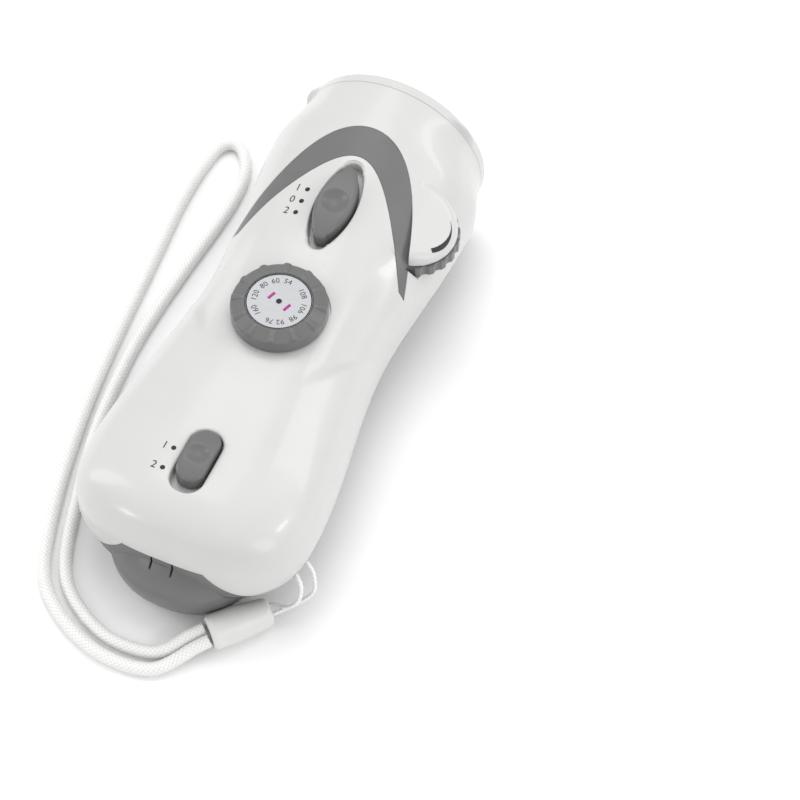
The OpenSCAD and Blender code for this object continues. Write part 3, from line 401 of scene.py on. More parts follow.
def flared(name, outline, z0, matrix):
    """Cutter for an opening whose edge is rounded towards the surface at height 0."""
    edge, sink, above = 0.8, 0.72, 6.0
    rows = [[(x, y, z0) for x, y in outline(0.0)]]
    for a in np.linspace(0, 1.35, 9):
        rows.append([(x, y, edge * math.sin(a) - sink) for x, y in outline(edge * (1 - math.cos(a)))])
    rows.append([(x, y, above) for x, y in outline(0.9)])
    obj = loft(name, rows)
    obj.data.transform(matrix)
    return obj


def button(name, outline, z0, stem, crown, dish, matrix, body, node):
    """Slide button on a stem: straight sides, a rounded rim, a crowned top and a shallow finger dish."""
    inner = np.array(outline(BUTTON_RIM))
    longest = 0.25
    steps = [max(1, math.ceil(np.linalg.norm(b - a) / longest)) for a, b in zip(inner, np.roll(inner, -1, 0))]

    def ring(inset):
        """The outline with points along its straight sides too, where the dish needs them."""
        points = np.array(outline(inset))
        pairs = zip(points, np.roll(points, -1, 0), steps)
        return np.array([a + (b - a) * i / n for a, b, n in pairs for i in range(n)])

    def top(x, y):
        high, low = crown(y), dish[0] - math.sqrt(dish[1] ** 2 - min(x * x + y * y, dish[1] ** 2 - 1))
        return -soft_max(-high, -low, DISH_BLEND)

    rows = [[(x, y, z0) for x, y in ring(0.0)]]
    for a in np.linspace(0, 1.5, 9):
        inset, drop = BUTTON_RIM * (1 - math.cos(a)), BUTTON_RIM * (1 - math.sin(a))
        rows.append([(x, y, top(x, y) - drop) for x, y in ring(inset)])
    for k in np.linspace(1, 0.02, 40)[1:]:
        rows.append([(x, y, top(x, y)) for x, y in ring(BUTTON_RIM) * k])
    post = prism("stem", rect(-STEM_X, -STEM_Y, STEM_X, STEM_Y), stem, z0 + 0.3)
    obj = combine(loft(name, rows), post, "UNION")
    obj.data.transform(matrix)
    finish_piece(obj, body, mat("dark_grey"), [node], angle=50)


def under_floor():
    """Cutter for the flat under the nose, where the torch rests."""
    return prism("ground", rect(-40, 30, 40, 90), -10, 0)


def dial_base():
    return top_z(DIAL_Y) - DIAL_SINK


def at_lamp():
    tilt = math.atan((top_z(LAMP_Y + 1) - top_z(LAMP_Y - 1)) / 2)
    return shift(0, LAMP_Y, top_z(LAMP_Y)) @ turn(tilt, "X")


# Materials: every one is named for its stuff and process, with colours given as sRGB hex.

def linear(text):
    out = []
    for i in (1, 3, 5):
        c = int(text[i:i + 2], 16) / 255
        out.append(c / 12.92 if c <= 0.04045 else ((c + 0.055) / 1.055) ** 2.4)
    return (*out, 1.0)


def add(tree, kind, links=(), **values):
    """Adds a node, sets its inputs or settings by name, and links (socket, input) pairs into it."""
    node = tree.nodes.new("ShaderNode" + kind)
    for key, value in values.items():
        if key in node.inputs:
            node.inputs[key].default_value = value
        else:
            setattr(node, key, value)
    for source, name in links:
        tree.links.new(source, node.inputs[name])
    return node


def start(name):
    mat = bpy.data.materials.new(name)
    mat.use_nodes = True
    tree = mat.node_tree
    tree.nodes.clear()
    return mat, tree, add(tree, "TexCoord").outputs["Object"]


def close(mat, links, **values):
    """Ends a material with one surface shader."""
    tree = mat.node_tree
    shader = add(tree, "BsdfPrincipled", links, **values)
    tree.links.new(shader.outputs[0], add(tree, "OutputMaterial").inputs["Surface"])
    return mat


def noise(tree, where, size_mm, detail):
    node = add(tree, "TexNoise", [(where, "Vector")], Scale=1 / (size_mm * MM), Detail=detail)
    return node.outputs["Fac"]


def bump(tree, height, strength, depth_mm, normal=None):
    links = [(height, "Height")] + ([(normal, "Normal")] if normal else [])
    return add(tree, "Bump", links, Strength=strength, Distance=depth_mm * MM).outputs[0]


def blend(tree, factor, dark, light):
    """A colour between two sRGB tones."""
    node = add(tree, "Mix", data_type="RGBA")
    tree.links.new(factor, node.inputs[0])
    node.inputs[6].default_value = linear(dark)
    node.inputs[7].default_value = linear(light)
    return node.outputs[2]


def tone(tree, where, size_mm, dark, light, detail=3.0):
    """Soft mottling between two colours, at a size in millimetres."""
    return blend(tree, noise(tree, where, size_mm, detail), dark, light)


def spread(tree, where, size_mm, low, high):
    """A value that drifts between low and high, at a size in millimetres."""
    links = [(noise(tree, where, size_mm, 4.0), "Value")]
    return add(tree, "MapRange", links, **{"To Min": low, "To Max": high}).outputs[0]


def moulded(name, dark, light, rough, grain_mm, grain, edge_mm, coat=0.0, sss=0.0):
    """Injection-moulded plastic: faint mottling, drifting gloss, fine skin grain and softened edges."""
    mat, tree, where = start(name)
    edge = add(tree, "Bevel", samples=6, Radius=edge_mm * MM)
    skin = bump(tree, noise(tree, where, grain_mm, 3.0), grain, 0.02, edge.outputs[0])
    values = {"Coat Weight": coat, "Coat Roughness": 0.06, "IOR": 1.5}
    if sss:
        values.update({"Subsurface Weight": sss, "Subsurface Radius": (1.0, 1.0, 1.0),
                       "Subsurface Scale": 1.2 * MM})
    return close(mat, [(tone(tree, where, 9.0, dark, light), "Base Color"),
                       (spread(tree, where, 14.0, *rough), "Roughness"), (skin, "Normal")], **values)


def metal(name, dark, light, rough, grain_mm, grain, stretch=(1, 1, 1)):
    """Bare or plated metal: drawn or turned grain in its gloss and a little tarnish in its colour."""
    mat, tree, where = start(name)
    drawn = add(tree, "Mapping", [(where, "Vector")], Scale=stretch).outputs[0]
    edge = add(tree, "Bevel", samples=4, Radius=0.12 * MM)
    skin = bump(tree, noise(tree, drawn, grain_mm, 5.0), grain, 0.01, edge.outputs[0])
    return close(mat, [(tone(tree, where, 3.0, dark, light), "Base Color"),
                       (spread(tree, drawn, 1.5, *rough), "Roughness"), (skin, "Normal")], Metallic=1.0)


def wound(name, dark, light, pitch_mm, axis):
    """Enamelled wire wound in even turns: fine parallel ridges, with painted shade darkening the lines
    between them.
    """
    mat, tree, where = start(name)
    # The same ridges give the bump and darken the colour between the turns: painted shade.
    ridges_and_shade = add(tree, "TexWave", [(where, "Vector")], Scale=1 / (pitch_mm * MM) / 3.2, Distortion=0.4,
               Detail=1.0, bands_direction=axis).outputs["Fac"]
    return close(mat, [(blend(tree, ridges_and_shade, dark, light), "Base Color"),
                       (bump(tree, ridges_and_shade, 0.6, 0.08), "Normal")], Metallic=0.7, Roughness=0.32)


def board():
    """Glass-epoxy board: solder mask with etched copper showing as lighter lines under it."""
    mat, tree, where = start("fr4_board_solder_mask")
    cells = add(tree, "TexVoronoi", [(where, "Vector")], Scale=1 / (4.0 * MM), feature="DISTANCE_TO_EDGE")
    lines = add(tree, "MapRange", [(cells.outputs["Distance"], "Value")], **{"From Max": 0.12})
    return close(mat, [(blend(tree, lines.outputs[0], "#3f8b52", "#1f5a33"), "Base Color"),
                       (spread(tree, where, 2.0, 0.28, 0.45), "Roughness")])


def clear(name, tint, rough, ior):
    """Clear moulding: takes its look from what is behind it, with faint flow lines."""
    mat, tree, where = start(name)
    flow = bump(tree, noise(tree, where, 6.0, 2.0), 0.05, 0.02)
    return close(mat, [(spread(tree, where, 8.0, *rough), "Roughness"), (flow, "Normal"),
                       (tone(tree, where, 10.0, tint, "#ffffff"), "Base Color")],
                 **{"Transmission Weight": 1.0, "IOR": ior})


def ink(name, dark, light):
    """Pad-printed ink: a thin even film, a little broken at the grain of the plastic."""
    mat, tree, where = start(name)
    return close(mat, [(tone(tree, where, 0.35, dark, light, 4.0), "Base Color"),
                       (spread(tree, where, 0.8, 0.38, 0.55), "Roughness")])


def silver_label():
    """Silver foil label: fine brushed streaks across it and a soft metallic sheen."""
    mat, tree, where = start("brushed_silver_label")
    brushed = add(tree, "Mapping", [(where, "Vector")], Scale=(0.06, 1, 1)).outputs[0]
    return close(mat, [(tone(tree, brushed, 0.12, "#b2b3b5", "#c6c7ca", 2.0), "Base Color"),
                       (spread(tree, brushed, 0.4, 0.36, 0.5), "Roughness")], Metallic=0.25)


def braid():
    """Braided polyester: bright strands, painted shade darkening the gaps between them, and a silky sheen."""
    mat, tree, where = start("braided_polyester_cord")
    # The strand height darkens the colour towards #c9c9c6 in the low gaps: painted shade.
    depth = add(tree, "Attribute", attribute_name="strand").outputs["Fac"]
    fibre = bump(tree, noise(tree, where, 0.18, 3.0), 0.25, 0.05)
    return close(mat, [(blend(tree, depth, "#c9c9c6", "#f6f6f4"), "Base Color"), (fibre, "Normal"),
                       (spread(tree, where, 1.0, 0.38, 0.55), "Roughness")],
                 **{"Sheen Weight": 0.4, "Sheen Roughness": 0.4})


def studio_floor():
    """Seamless paper: matt, pale, with the faintest mottling."""
    mat, tree, where = start("seamless_white_paper")
    return close(mat, [(tone(tree, where, 60.0, "#f8f8f8", "#fbfbfb"), "Base Color")],
                 **{"Roughness": 0.9, "Specular IOR Level": 0.1})


# Plastics and metals: name, dark and light tone, range of roughness, size and strength of the grain,
# then the edge radius, coat and subsurface of a plastic, or the stretch of a metal's grain.
RECIPES = {
    "white": (moulded, "gloss_white_abs_moulding", "#c8c8c7", "#cdcdcc", (0.25, 0.33), 1.4, 0.05, 0.35, 0.25),
    "grey": (moulded, "satin_grey_abs_moulding", "#656565", "#6d6d6d", (0.3, 0.4), 0.25, 0.25, 0.3),
    "dark_grey": (moulded, "satin_dark_grey_abs_moulding", "#646464", "#6c6c6c", (0.26, 0.34), 0.22, 0.25,
                  0.35),
    "rubber": (moulded, "moulded_grey_rubber", "#636363", "#6e6e6e", (0.6, 0.72), 0.15, 0.4, 0.25),
    "bead": (moulded, "white_pe_bead_moulding", "#d4d4d2", "#dededc", (0.2, 0.28), 0.8, 0.08, 0.3, 0.0, 0.3),
    "nylon": (moulded, "natural_acetal_gear", "#dcd6c4", "#ece7d8", (0.32, 0.42), 0.3, 0.15, 0.1),
    "black": (moulded, "black_nylon_moulding", "#232427", "#313338", (0.4, 0.52), 0.25, 0.3, 0.15),
    "sleeve": (moulded, "shrink_sleeve_green", "#3f7d4b", "#579a63", (0.25, 0.35), 0.6, 0.1, 0.2),
    "wrap": (moulded, "shrink_wrap_blue", "#25539a", "#346bb8", (0.22, 0.3), 1.0, 0.2, 0.2),
    "pot": (moulded, "phenolic_blue_pot", "#38557a", "#47678f", (0.4, 0.5), 0.4, 0.2, 0.15),
    "cream": (moulded, "clear_cream_capacitor_case", "#d2cdba", "#e1ddcd", (0.25, 0.35), 0.5, 0.1, 0.15),
    "paper": (moulded, "pressed_paper_cone", "#1f2022", "#2f3033", (0.75, 0.88), 0.3, 0.7, 0.1),
    "ferrite": (moulded, "sintered_ferrite", "#3a3a3c", "#4c4c4f", (0.55, 0.7), 0.12, 0.6, 0.2),
    "steel": (metal, "zinc_plated_steel", "#a3a8ad", "#c4c8cc", (0.22, 0.36), 0.4, 0.15),
    "pressed": (metal, "pressed_steel_sheet", "#b4b8bc", "#cfd2d5", (0.28, 0.42), 0.5, 0.2, (1, 0.1, 1)),
    "brass": (metal, "turned_brass", "#b58f38", "#d0ab58", (0.2, 0.32), 0.3, 0.15, (1, 1, 0.15)),
    "magnet": (metal, "nickel_plated_magnet", "#7d8084", "#989b9f", (0.2, 0.3), 0.5, 0.1),
    "mirror": (metal, "vacuum_metallised_reflector", "#dfe1e3", "#f0f1f2", (0.04, 0.09), 2.0, 0.02),
    # Windings: the dark tone is painted shade in the lines between the turns.
    "copper": (wound, "enamelled_copper_winding", "#7c3f16", "#c97f43", 0.2, "Z"),
    "copper_x": (wound, "litz_antenna_winding", "#8a5220", "#d39a5c", 0.25, "X"),
    "board": (board,),
    "lens": (clear, "polycarbonate_lens", "#f4f8fa", (0.02, 0.05), 1.58),
    "led": (clear, "water_clear_epoxy_led", "#f7f3d8", (0.05, 0.1), 1.5),
    "label": (silver_label,),
    "ink_black": (ink, "pad_print_black_ink", "#1c1c1e", "#2a2a2c"),
    "ink_red": (ink, "pad_print_magenta_ink", "#a3237f", "#b4358f"),
    "braid": (braid,),
    "floor": (studio_floor,),
}
MATERIALS = {}


def mat(name):
    """Materials are made when first asked for."""
    if name not in MATERIALS:
        maker, *values = RECIPES[name]
        MATERIALS[name] = maker(*values)
    return MATERIALS[name]


def dress(**finishes):
    """Better materials on CAD nodes, whose shape is kept; each material is given the names of its nodes."""
    for material, names in finishes.items():
        for name in names.split():
            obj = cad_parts[name]
            obj.data.materials.clear()
            obj.data.materials.append(mat(material))


# Cords.

def spline(points, u):
    n = len(points) - 1
    i = min(n - 1, int(math.floor(u)))
    t = u - i
    a, b, c, d = points[max(0, i - 1)], points[i], points[i + 1], points[min(n, i + 2)]
    bend = (2 * a - 5 * b + 4 * c - d) * t * t + (3 * b - a - 3 * c + d) * t ** 3
    return 0.5 * (2 * b + (c - a) * t + bend)


def even_path(points, step):
    """Points an even step apart along the smooth line through the route."""
    fine = np.array([spline(points, u) for u in np.linspace(0, len(points) - 1, 40 * len(points))])
    s = np.concatenate([[0], np.cumsum(np.linalg.norm(np.diff(fine, axis=0), axis=1))])
    at = np.linspace(0, s[-1], int(s[-1] / step) + 1)
    return np.stack([np.interp(at, s, fine[:, k]) for k in range(3)], 1), s[-1]


def strap_routes():
    u = np.array([*polar(1, math.radians(BEAD_DIR)), 0])
    n = np.array([-u[1], u[0], 0])
    a = np.array(BEAD_A)
    b = a + BEAD_L * u
    lie = CORD_D / 2 + 0.1
    aside = lie * n
    down = np.array([0, 0, 0.8])
    flat = [(4, -80), (-9, -81), (-22, -75.5), (-30.5, -66.5), (-36.5, -49), (-41.5, -27), (-44.5, -5.5),
            (-47, 21), (-49, 44), (-48, 60.5), (-43.5, 64), (-38.5, 58), (-37, 46), (-38.5, 25), (-39.5, 9.5),
            (-39.5, -6), (-37, -27.5), (-32, -47.5), (-26.5, -63.5), (-19.5, -71.5), (-8.5, -76.6),
            (3, -75.6)]
    cord = [a - 0.4 * u - aside, a - 4 * u - aside - down]
    cord += [np.array([x, y, lie]) for x, y in flat]
    cord += [a - 4 * u + aside - down, a - 0.4 * u + aside]
    first, second = np.array(HOLES[0]), np.array(HOLES[1])
    d = np.array([*polar(1, math.radians(-HOLE_AIM)), 0])
    tie = [b - 3 * u + (0.7, -0.8, 0), b + u + (0.8, -0.8, 0.3), (28.4, -53, 6), (31.4, -50.4, 9.4),
           (30.4, -48.2, 13.4), second + 1.6 * d, second, second - 2.4 * d, (first + second) / 2 - 4.4 * d,
           first - 2.4 * d, first, first + 1.6 * d, (29.4, -52.6, 13.2), (29.2, -54.2, 9.4), (26.6, -55, 6),
           b + u + (-0.6, 0.8, 0.5), b - 3 * u + (-0.7, 0.8, 0)]
    return cord, [np.array(p, float) for p in tie]


def braided_tube(name, route, d, step, strands, pitch, relief, sides):
    """A tube whose skin is two families of strands going over and under each other."""
    path, length = even_path(route, step)
    tangent = np.gradient(path, axis=0)
    tangent /= np.linalg.norm(tangent, axis=1)[:, None]
    side = np.cross(tangent, (0, 0, 1))
    side /= np.linalg.norm(side, axis=1)[:, None]
    up = np.cross(side, tangent)
    along = np.linspace(0, length, len(path))[:, None]
    angle = np.linspace(0, math.tau, sides, endpoint=False)[None, :]
    p = strands * angle / math.tau + along / pitch
    q = strands * angle / math.tau - along / pitch
    over = np.cos(math.pi * (np.floor(p) + np.floor(q)))
    first = np.abs(np.sin(math.pi * p)) ** 0.6 * (0.78 + 0.22 * over)
    second = np.abs(np.sin(math.pi * q)) ** 0.6 * (0.78 - 0.22 * over)
    height = np.maximum(first, second)
    r = d / 2 - relief * (1 - height)
    verts = (path[:, None, :] + r[..., None] * (np.cos(angle)[..., None] * side[:, None, :]
                                                + np.sin(angle)[..., None] * up[:, None, :]))
    last = (len(path) - 1) * sides
    faces = tube_faces(len(path), sides)
    faces += [tuple(range(sides))[::-1], tuple(range(last, last + sides))]
    mesh = bpy.data.meshes.new(name)
    mesh.from_pydata([tuple(v) for v in (verts.reshape(-1, 3) * MM)], [], faces)
    # The strand heights are kept on the mesh so that the cord material can paint shade into the low gaps
    # between strands.
    mark = mesh.attributes.new("strand", "FLOAT", "POINT")
    mark.data.foreach_set("value", height.reshape(-1).astype(np.float32))
    return place(name, mesh), path * MM, length * MM


# Printed marks: thin films that follow the shell.

def film(name, outline):
    """A film of ink over the shell inside an outline."""
    edge = np.array(outline)
    rings = [mix(edge.mean(axis=0), edge, k) for k in (0, 0.34, 0.67, 1)]
    verts = [(x, y, surface_z(x, y) + PRINT_LIFT) for ring in rings for x, y in ring]
    obj = solid(name, verts, tube_faces(len(rings), len(edge)), closed=False)
    return finish_piece(obj, "housing", mat("ink_black"), angle=0)


def lettering(name, items, height, body, z):
    """Plain numbers: each item is (text, x, y, angle in degrees). Without a height they follow the shell."""
    bm = bmesh.new()
    for text, x, y, angle in items:
        curve = bpy.data.curves.new("number", "FONT")
        curve.body = text
        curve.size = height * 1.42
        curve.align_x = curve.align_y = "CENTER"
        curve.space_character = 1.06
        curve.resolution_u = 3
        curve.extrude = 0.006
        obj = place("number", curve)
        bpy.context.view_layer.update()
        mesh = bpy.data.meshes.new_from_object(obj.evaluated_get(bpy.context.evaluated_depsgraph_get()))
        mesh.transform(shift(x, y, z or 0) @ turn(math.radians(angle), "Z"))
        for v in mesh.vertices if z is None else ():
            v.co.z += surface_z(v.co.x, v.co.y) + PRINT_LIFT
        bm.from_mesh(mesh)
        bpy.data.meshes.remove(mesh)
        bpy.data.objects.remove(obj)
    mesh = bpy.data.meshes.new(name)
    bm.to_mesh(mesh)
    bm.free()
    return finish_piece(place(name, mesh), body, mat("ink_black"), angle=0)


class TorchSettings(bpy.types.PropertyGroup):
    """What a user may change before the pieces are added."""

    skin_rows: IntProperty(name="Skin rows", description="Rows along the shells", default=120,
                           min=40, max=240)
    skin_across: IntProperty(name="Skin columns", description="Columns across the shells", default=128,
                             min=32, max=256)
    braid_pitch: FloatProperty(name="Braid pitch", description="Length of one strand crossing in millimetres",
                               default=1.1, min=0.5, max=4.0)
    camera_lens: FloatProperty(name="Lens", description="Focal length of the camera", default=124.2,
                               unit="CAMERA")
    camera_at: FloatVectorProperty(name="Camera", description="Place of the camera", subtype="TRANSLATION",
                                   unit="LENGTH", default=(0.17407, -0.32242, 0.56168))
    key_power: FloatProperty(name="Key light", description="Power of the overhead softbox", default=2.8,
                             min=0.0)


class TORCH_OT_stage(bpy.types.Operator):
    """Add the camera at the photograph's angle, a pale floor and soft studio light."""

    bl_idname = "torch.stage"
    bl_label = "Add studio"

    def execute(self, context):
        settings = context.scene.torch
        data = bpy.data.cameras.new("camera")
        data.lens = settings.camera_lens
        data.sensor_width = 36.0
        data.clip_start = 0.01
        cam = place("camera", data)
        cam.location = settings.camera_at
        az, el = math.radians(VIEW_AZ), math.radians(VIEW_EL)
        back = Vector((math.sin(az) * math.cos(el), -math.cos(az) * math.cos(el), math.sin(el)))
        cam.rotation_euler = (-back).to_track_quat("-Z", "Y").to_euler()
        context.scene.camera = cam
        verts = [(x, y, 0) for x, y in rect(-FLOOR, -FLOOR, FLOOR, FLOOR)]
        mesh = bpy.data.meshes.new("floor")
        mesh.from_pydata(verts, [], [(0, 1, 2, 3)])
        mesh.materials.append(mat("floor"))
        floor = place("floor", mesh)
        key, centre = settings.key_power, (0, 0, 0.02)
        self.light("overhead_softbox", (-0.1, 0.35, 0.9), centre, (0.7, 0.7), key, False)
        self.light("left_strip", (-0.75, -0.1, 0.45), centre, (0.3, 0.9), key * 0.55)
        self.light("right_fill", (0.7, -0.35, 0.4), centre, (0.5, 0.5), key * 0.4)
        self.light("dish_spark", (-0.18, 0.3, 0.75), (0, 0, 0.04), (0.3, 0.3), 0.35)
        self.light("tail_spark", (-0.41, -0.71, 0.26), (-0.01, -0.06, 0.03), (0.16, 0.12), 0.4)
        self.light("side_spark", (0.66, 0.16, 0.47), (0.02, -0.02, 0.03), (0.2, 0.1), 0.5, along=(0, 1, -0.3))
        self.light("ridge_spark", (0.37, 0.36, 0.58), (0.013, -0.01, 0.035), (0.62, 0.07), 0.5,
                   along=(-0.55, -0.03, 0.35))
        world = bpy.data.worlds.new("studio")
        world.use_nodes = True
        sky = world.node_tree.nodes["Background"]
        sky.inputs["Color"].default_value = linear("#f2f2f2")
        sky.inputs["Strength"].default_value = 0.85
        context.scene.world = world
        context.scene.view_settings.view_transform = "Standard"
        return {"FINISHED"}

    def light(self, name, at, target, size, power, mirrored=True, along=None):
        """Area light; the first of its two sizes lies along the given direction."""
        data = bpy.data.lights.new(name, "AREA")
        data.shape = "ELLIPSE"
        data.size, data.size_y = size
        data.energy = power
        obj = place(name, data)
        obj.visible_glossy = mirrored
        obj.location = at
        back = (Vector(at) - Vector(target)).normalized()
        side = Vector(along or (-back.y, back.x, 0))
        side = (side - side.dot(back) * back).normalized()
        obj.rotation_euler = Matrix((side, back.cross(side), back)).transposed().to_euler()


class TORCH_OT_strap(bpy.types.Operator):
    """Add the braided wrist cord, its thin tie loop and the bead that joins them."""

    bl_idname = "torch.strap"
    bl_label = "Add strap"

    def execute(self, context):
        pitch = context.scene.torch.braid_pitch
        cord, tie = strap_routes()
        dress(bead="strap_bead")
        obj, path, length = braided_tube("wrist_cord", cord, CORD_D - CORD_SLACK, step=0.22, strands=8,
                                         pitch=pitch, relief=0.26, sides=56)
        finish_piece(obj, "housing", mat("braid"), ["strap_cord"], angle=0, scale=1)
        obj, path, length = braided_tube("tie_loop", tie, TIE_D - TIE_SLACK, step=0.25, strands=3,
                                         pitch=1.1, relief=0.14, sides=18)
        finish_piece(obj, "housing", mat("braid"), ["strap_loop"], angle=0, scale=1)
        return {"FINISHED"}


class TORCH_OT_shells(bpy.types.Operator):
    """Add the white upper shell, the grey accent arc and the grey lower shell as smooth skins."""

    bl_idname = "torch.shells"
    bl_label = "Add shells"

    def execute(self, context):
        settings = context.scene.torch
        for build in (self.upper, self.arc, self.lower):
            build(settings.skin_rows, settings.skin_across)
        return {"FINISHED"}

    def top(self, t, tail_n, n, across, to=FRONT_Y, low=PARTING_Z):
        return loft("top", [top_row(y, t, across, low) for y in stations(t, tail_n, n, to)])

    def low(self, t, tail_n, n, across, to=FRONT_Y, high=PARTING_Z - SEAM):
        return loft("low", [low_row(y, t, across, high) for y in stations(t, tail_n, n, to)])

    def wheel_slot(self):
        x, y, z, t = WHEEL
        return prism("slot", disc(WHEEL_R + 0.5, x, y, 144), z - 0.35, z + t + 0.25)

    def upper(self, rows, across):
        shell = self.top(0, 36, rows, across)
        cut(shell, self.top(WALL, 10, 40, 40, FRONT_Y + 1, PARTING_Z - 0.7))
        band = shift(0, BAND_Y, TAIL_H)
        lamp_well = slot_outline(6.2, LAMP_SLOT_L + 1.2, 2.8)
        combine(shell, prism("well", lamp_well, -4.4, WELL_TOP, at_lamp()), "UNION")
        combine(shell, prism("well", round_rect(5.2, BAND_SLOT_L + 1.2, 4.6), -4.3, WELL_TOP, band), "UNION")
        combine(shell, hood(), "UNION")
        pocket = prism("pocket", arc_band(0.05), 24, 54)
        cut(pocket, self.top(POCKET_T, 10, 60, 64))
        recess = prism("recess", rect(-40, PORT_Y - COVER_HALF, -20, PORT_Y + COVER_HALF), COVER_Z - 0.2,
                       COVER_Z + COVER_H + 0.2)
        cut(recess, self.top(POCKET_T, 10, 60, 64))
        seat = top_z(DIAL_Y) - 0.7
        stem_x, lamp_l, band_l = STEM_X + 0.3, LAMP_TRAVEL + STEM_Y + 0.3, BAND_TRAVEL / 2 + STEM_Y + 0.3
        cut(shell, pocket, seam_shape(SEAM, 4, SEAM_Y),
            prism("seat", disc(DIAL_R + 0.5, 0, DIAL_Y, 144), seat, seat + 20),
            prism("shaft", disc(3.6, 0, DIAL_Y, 48), 20, 50),
            flared("lamp", lambda g: slot_outline(5 + g, LAMP_SLOT_L + g, 2.4 + g), -3.2, at_lamp()),
            prism("lamp_stem", rect(-stem_x, -lamp_l, stem_x, lamp_l), -8, 0, at_lamp()),
            flared("band", lambda g: round_rect(4 + g, BAND_SLOT_L + g, 3.8 + g), -3.1, band),
            prism("band_stem", rect(-stem_x, -band_l, stem_x, band_l), -8, 0, band),
            self.wheel_slot(),
            prism("port", rect(-40, PORT_Y - 4.3, -21, PORT_Y + 4.3), BOARD_Z - 2.95, BOARD_Z + 0.15), recess)
        for h in HOLES:
            aim = shift(*h) @ turn(math.radians(-HOLE_AIM), "Z") @ turn(math.pi / 2, "Y")
            cut(shell, prism("hole", disc(1.3, n=32), -4, 4, aim))
        shell.name = "upper_shell_skin"
        finish_piece(shell, "housing", mat("white"), ["upper_shell"])

    def arc(self, rows, across):
        arc = prism("accent_arc_skin", arc_band(-0.05), 24, 54)
        combine(arc, self.top(0, 36, rows, across), "INTERSECT")
        cut(arc, self.top(1.15, 10, 60, 64, FRONT_Y + 1, PARTING_Z - 1), self.wheel_slot())
        finish_piece(arc, "housing", mat("grey"), ["accent_arc"])

    def lower(self, rows, across):
        shell = self.low(0, 30, rows // 2, across // 2)
        foot = chin()
        combine(foot, seam_shape(0, 14, SEAM_Y), "INTERSECT")
        tail = loft("tail", [top_row(y, 0.1, across, 11) for y in stations(0.1, 36, 8, -38)])
        combine(tail, seam_shape(0, 2, TAIL_Y + 16.5), "INTERSECT")
        combine(shell, foot, "UNION")
        combine(shell, tail, "UNION")
        room = chin(WALL)
        combine(room, prism("room", rect(-30, -70, 30, -30), 0, 15), "INTERSECT")
        t = WALL + 0.2
        cut(shell, self.low(WALL, 10, 40, 40, FRONT_Y + 1, PARTING_Z + 0.8),
            loft("tail", [top_row(y, t, 40, 12.9) for y in stations(t, 10, 4, -30)]), room,
            under_floor(), prism("crank", disc(3.6, 0, 1), 0, 20))
        for x, y in POSTS:
            cut(shell, prism("post", disc(1.5, x, y, 32), 0, 30),
                prism("head", disc(2.7, x, y, 48), 0, DECK_Z + 1.4))
        for x in range(-8, 9, 4):
            half = math.sqrt(110 - x * x)
            cut(shell, prism("slot", rect(x - 0.7, GRILLE_Y - half, x + 0.7, GRILLE_Y + half), 7, 13))
        for x in (-2.6, 2.6):
            cut(shell, prism("slit", rect(x - 0.25, -72, x + 0.25, -60), SEAM_TOP - 3.6, SEAM_TOP + 4.4))
        shell.name = "lower_shell_skin"
        finish_piece(shell, "housing", mat("grey"), ["lower_shell"])


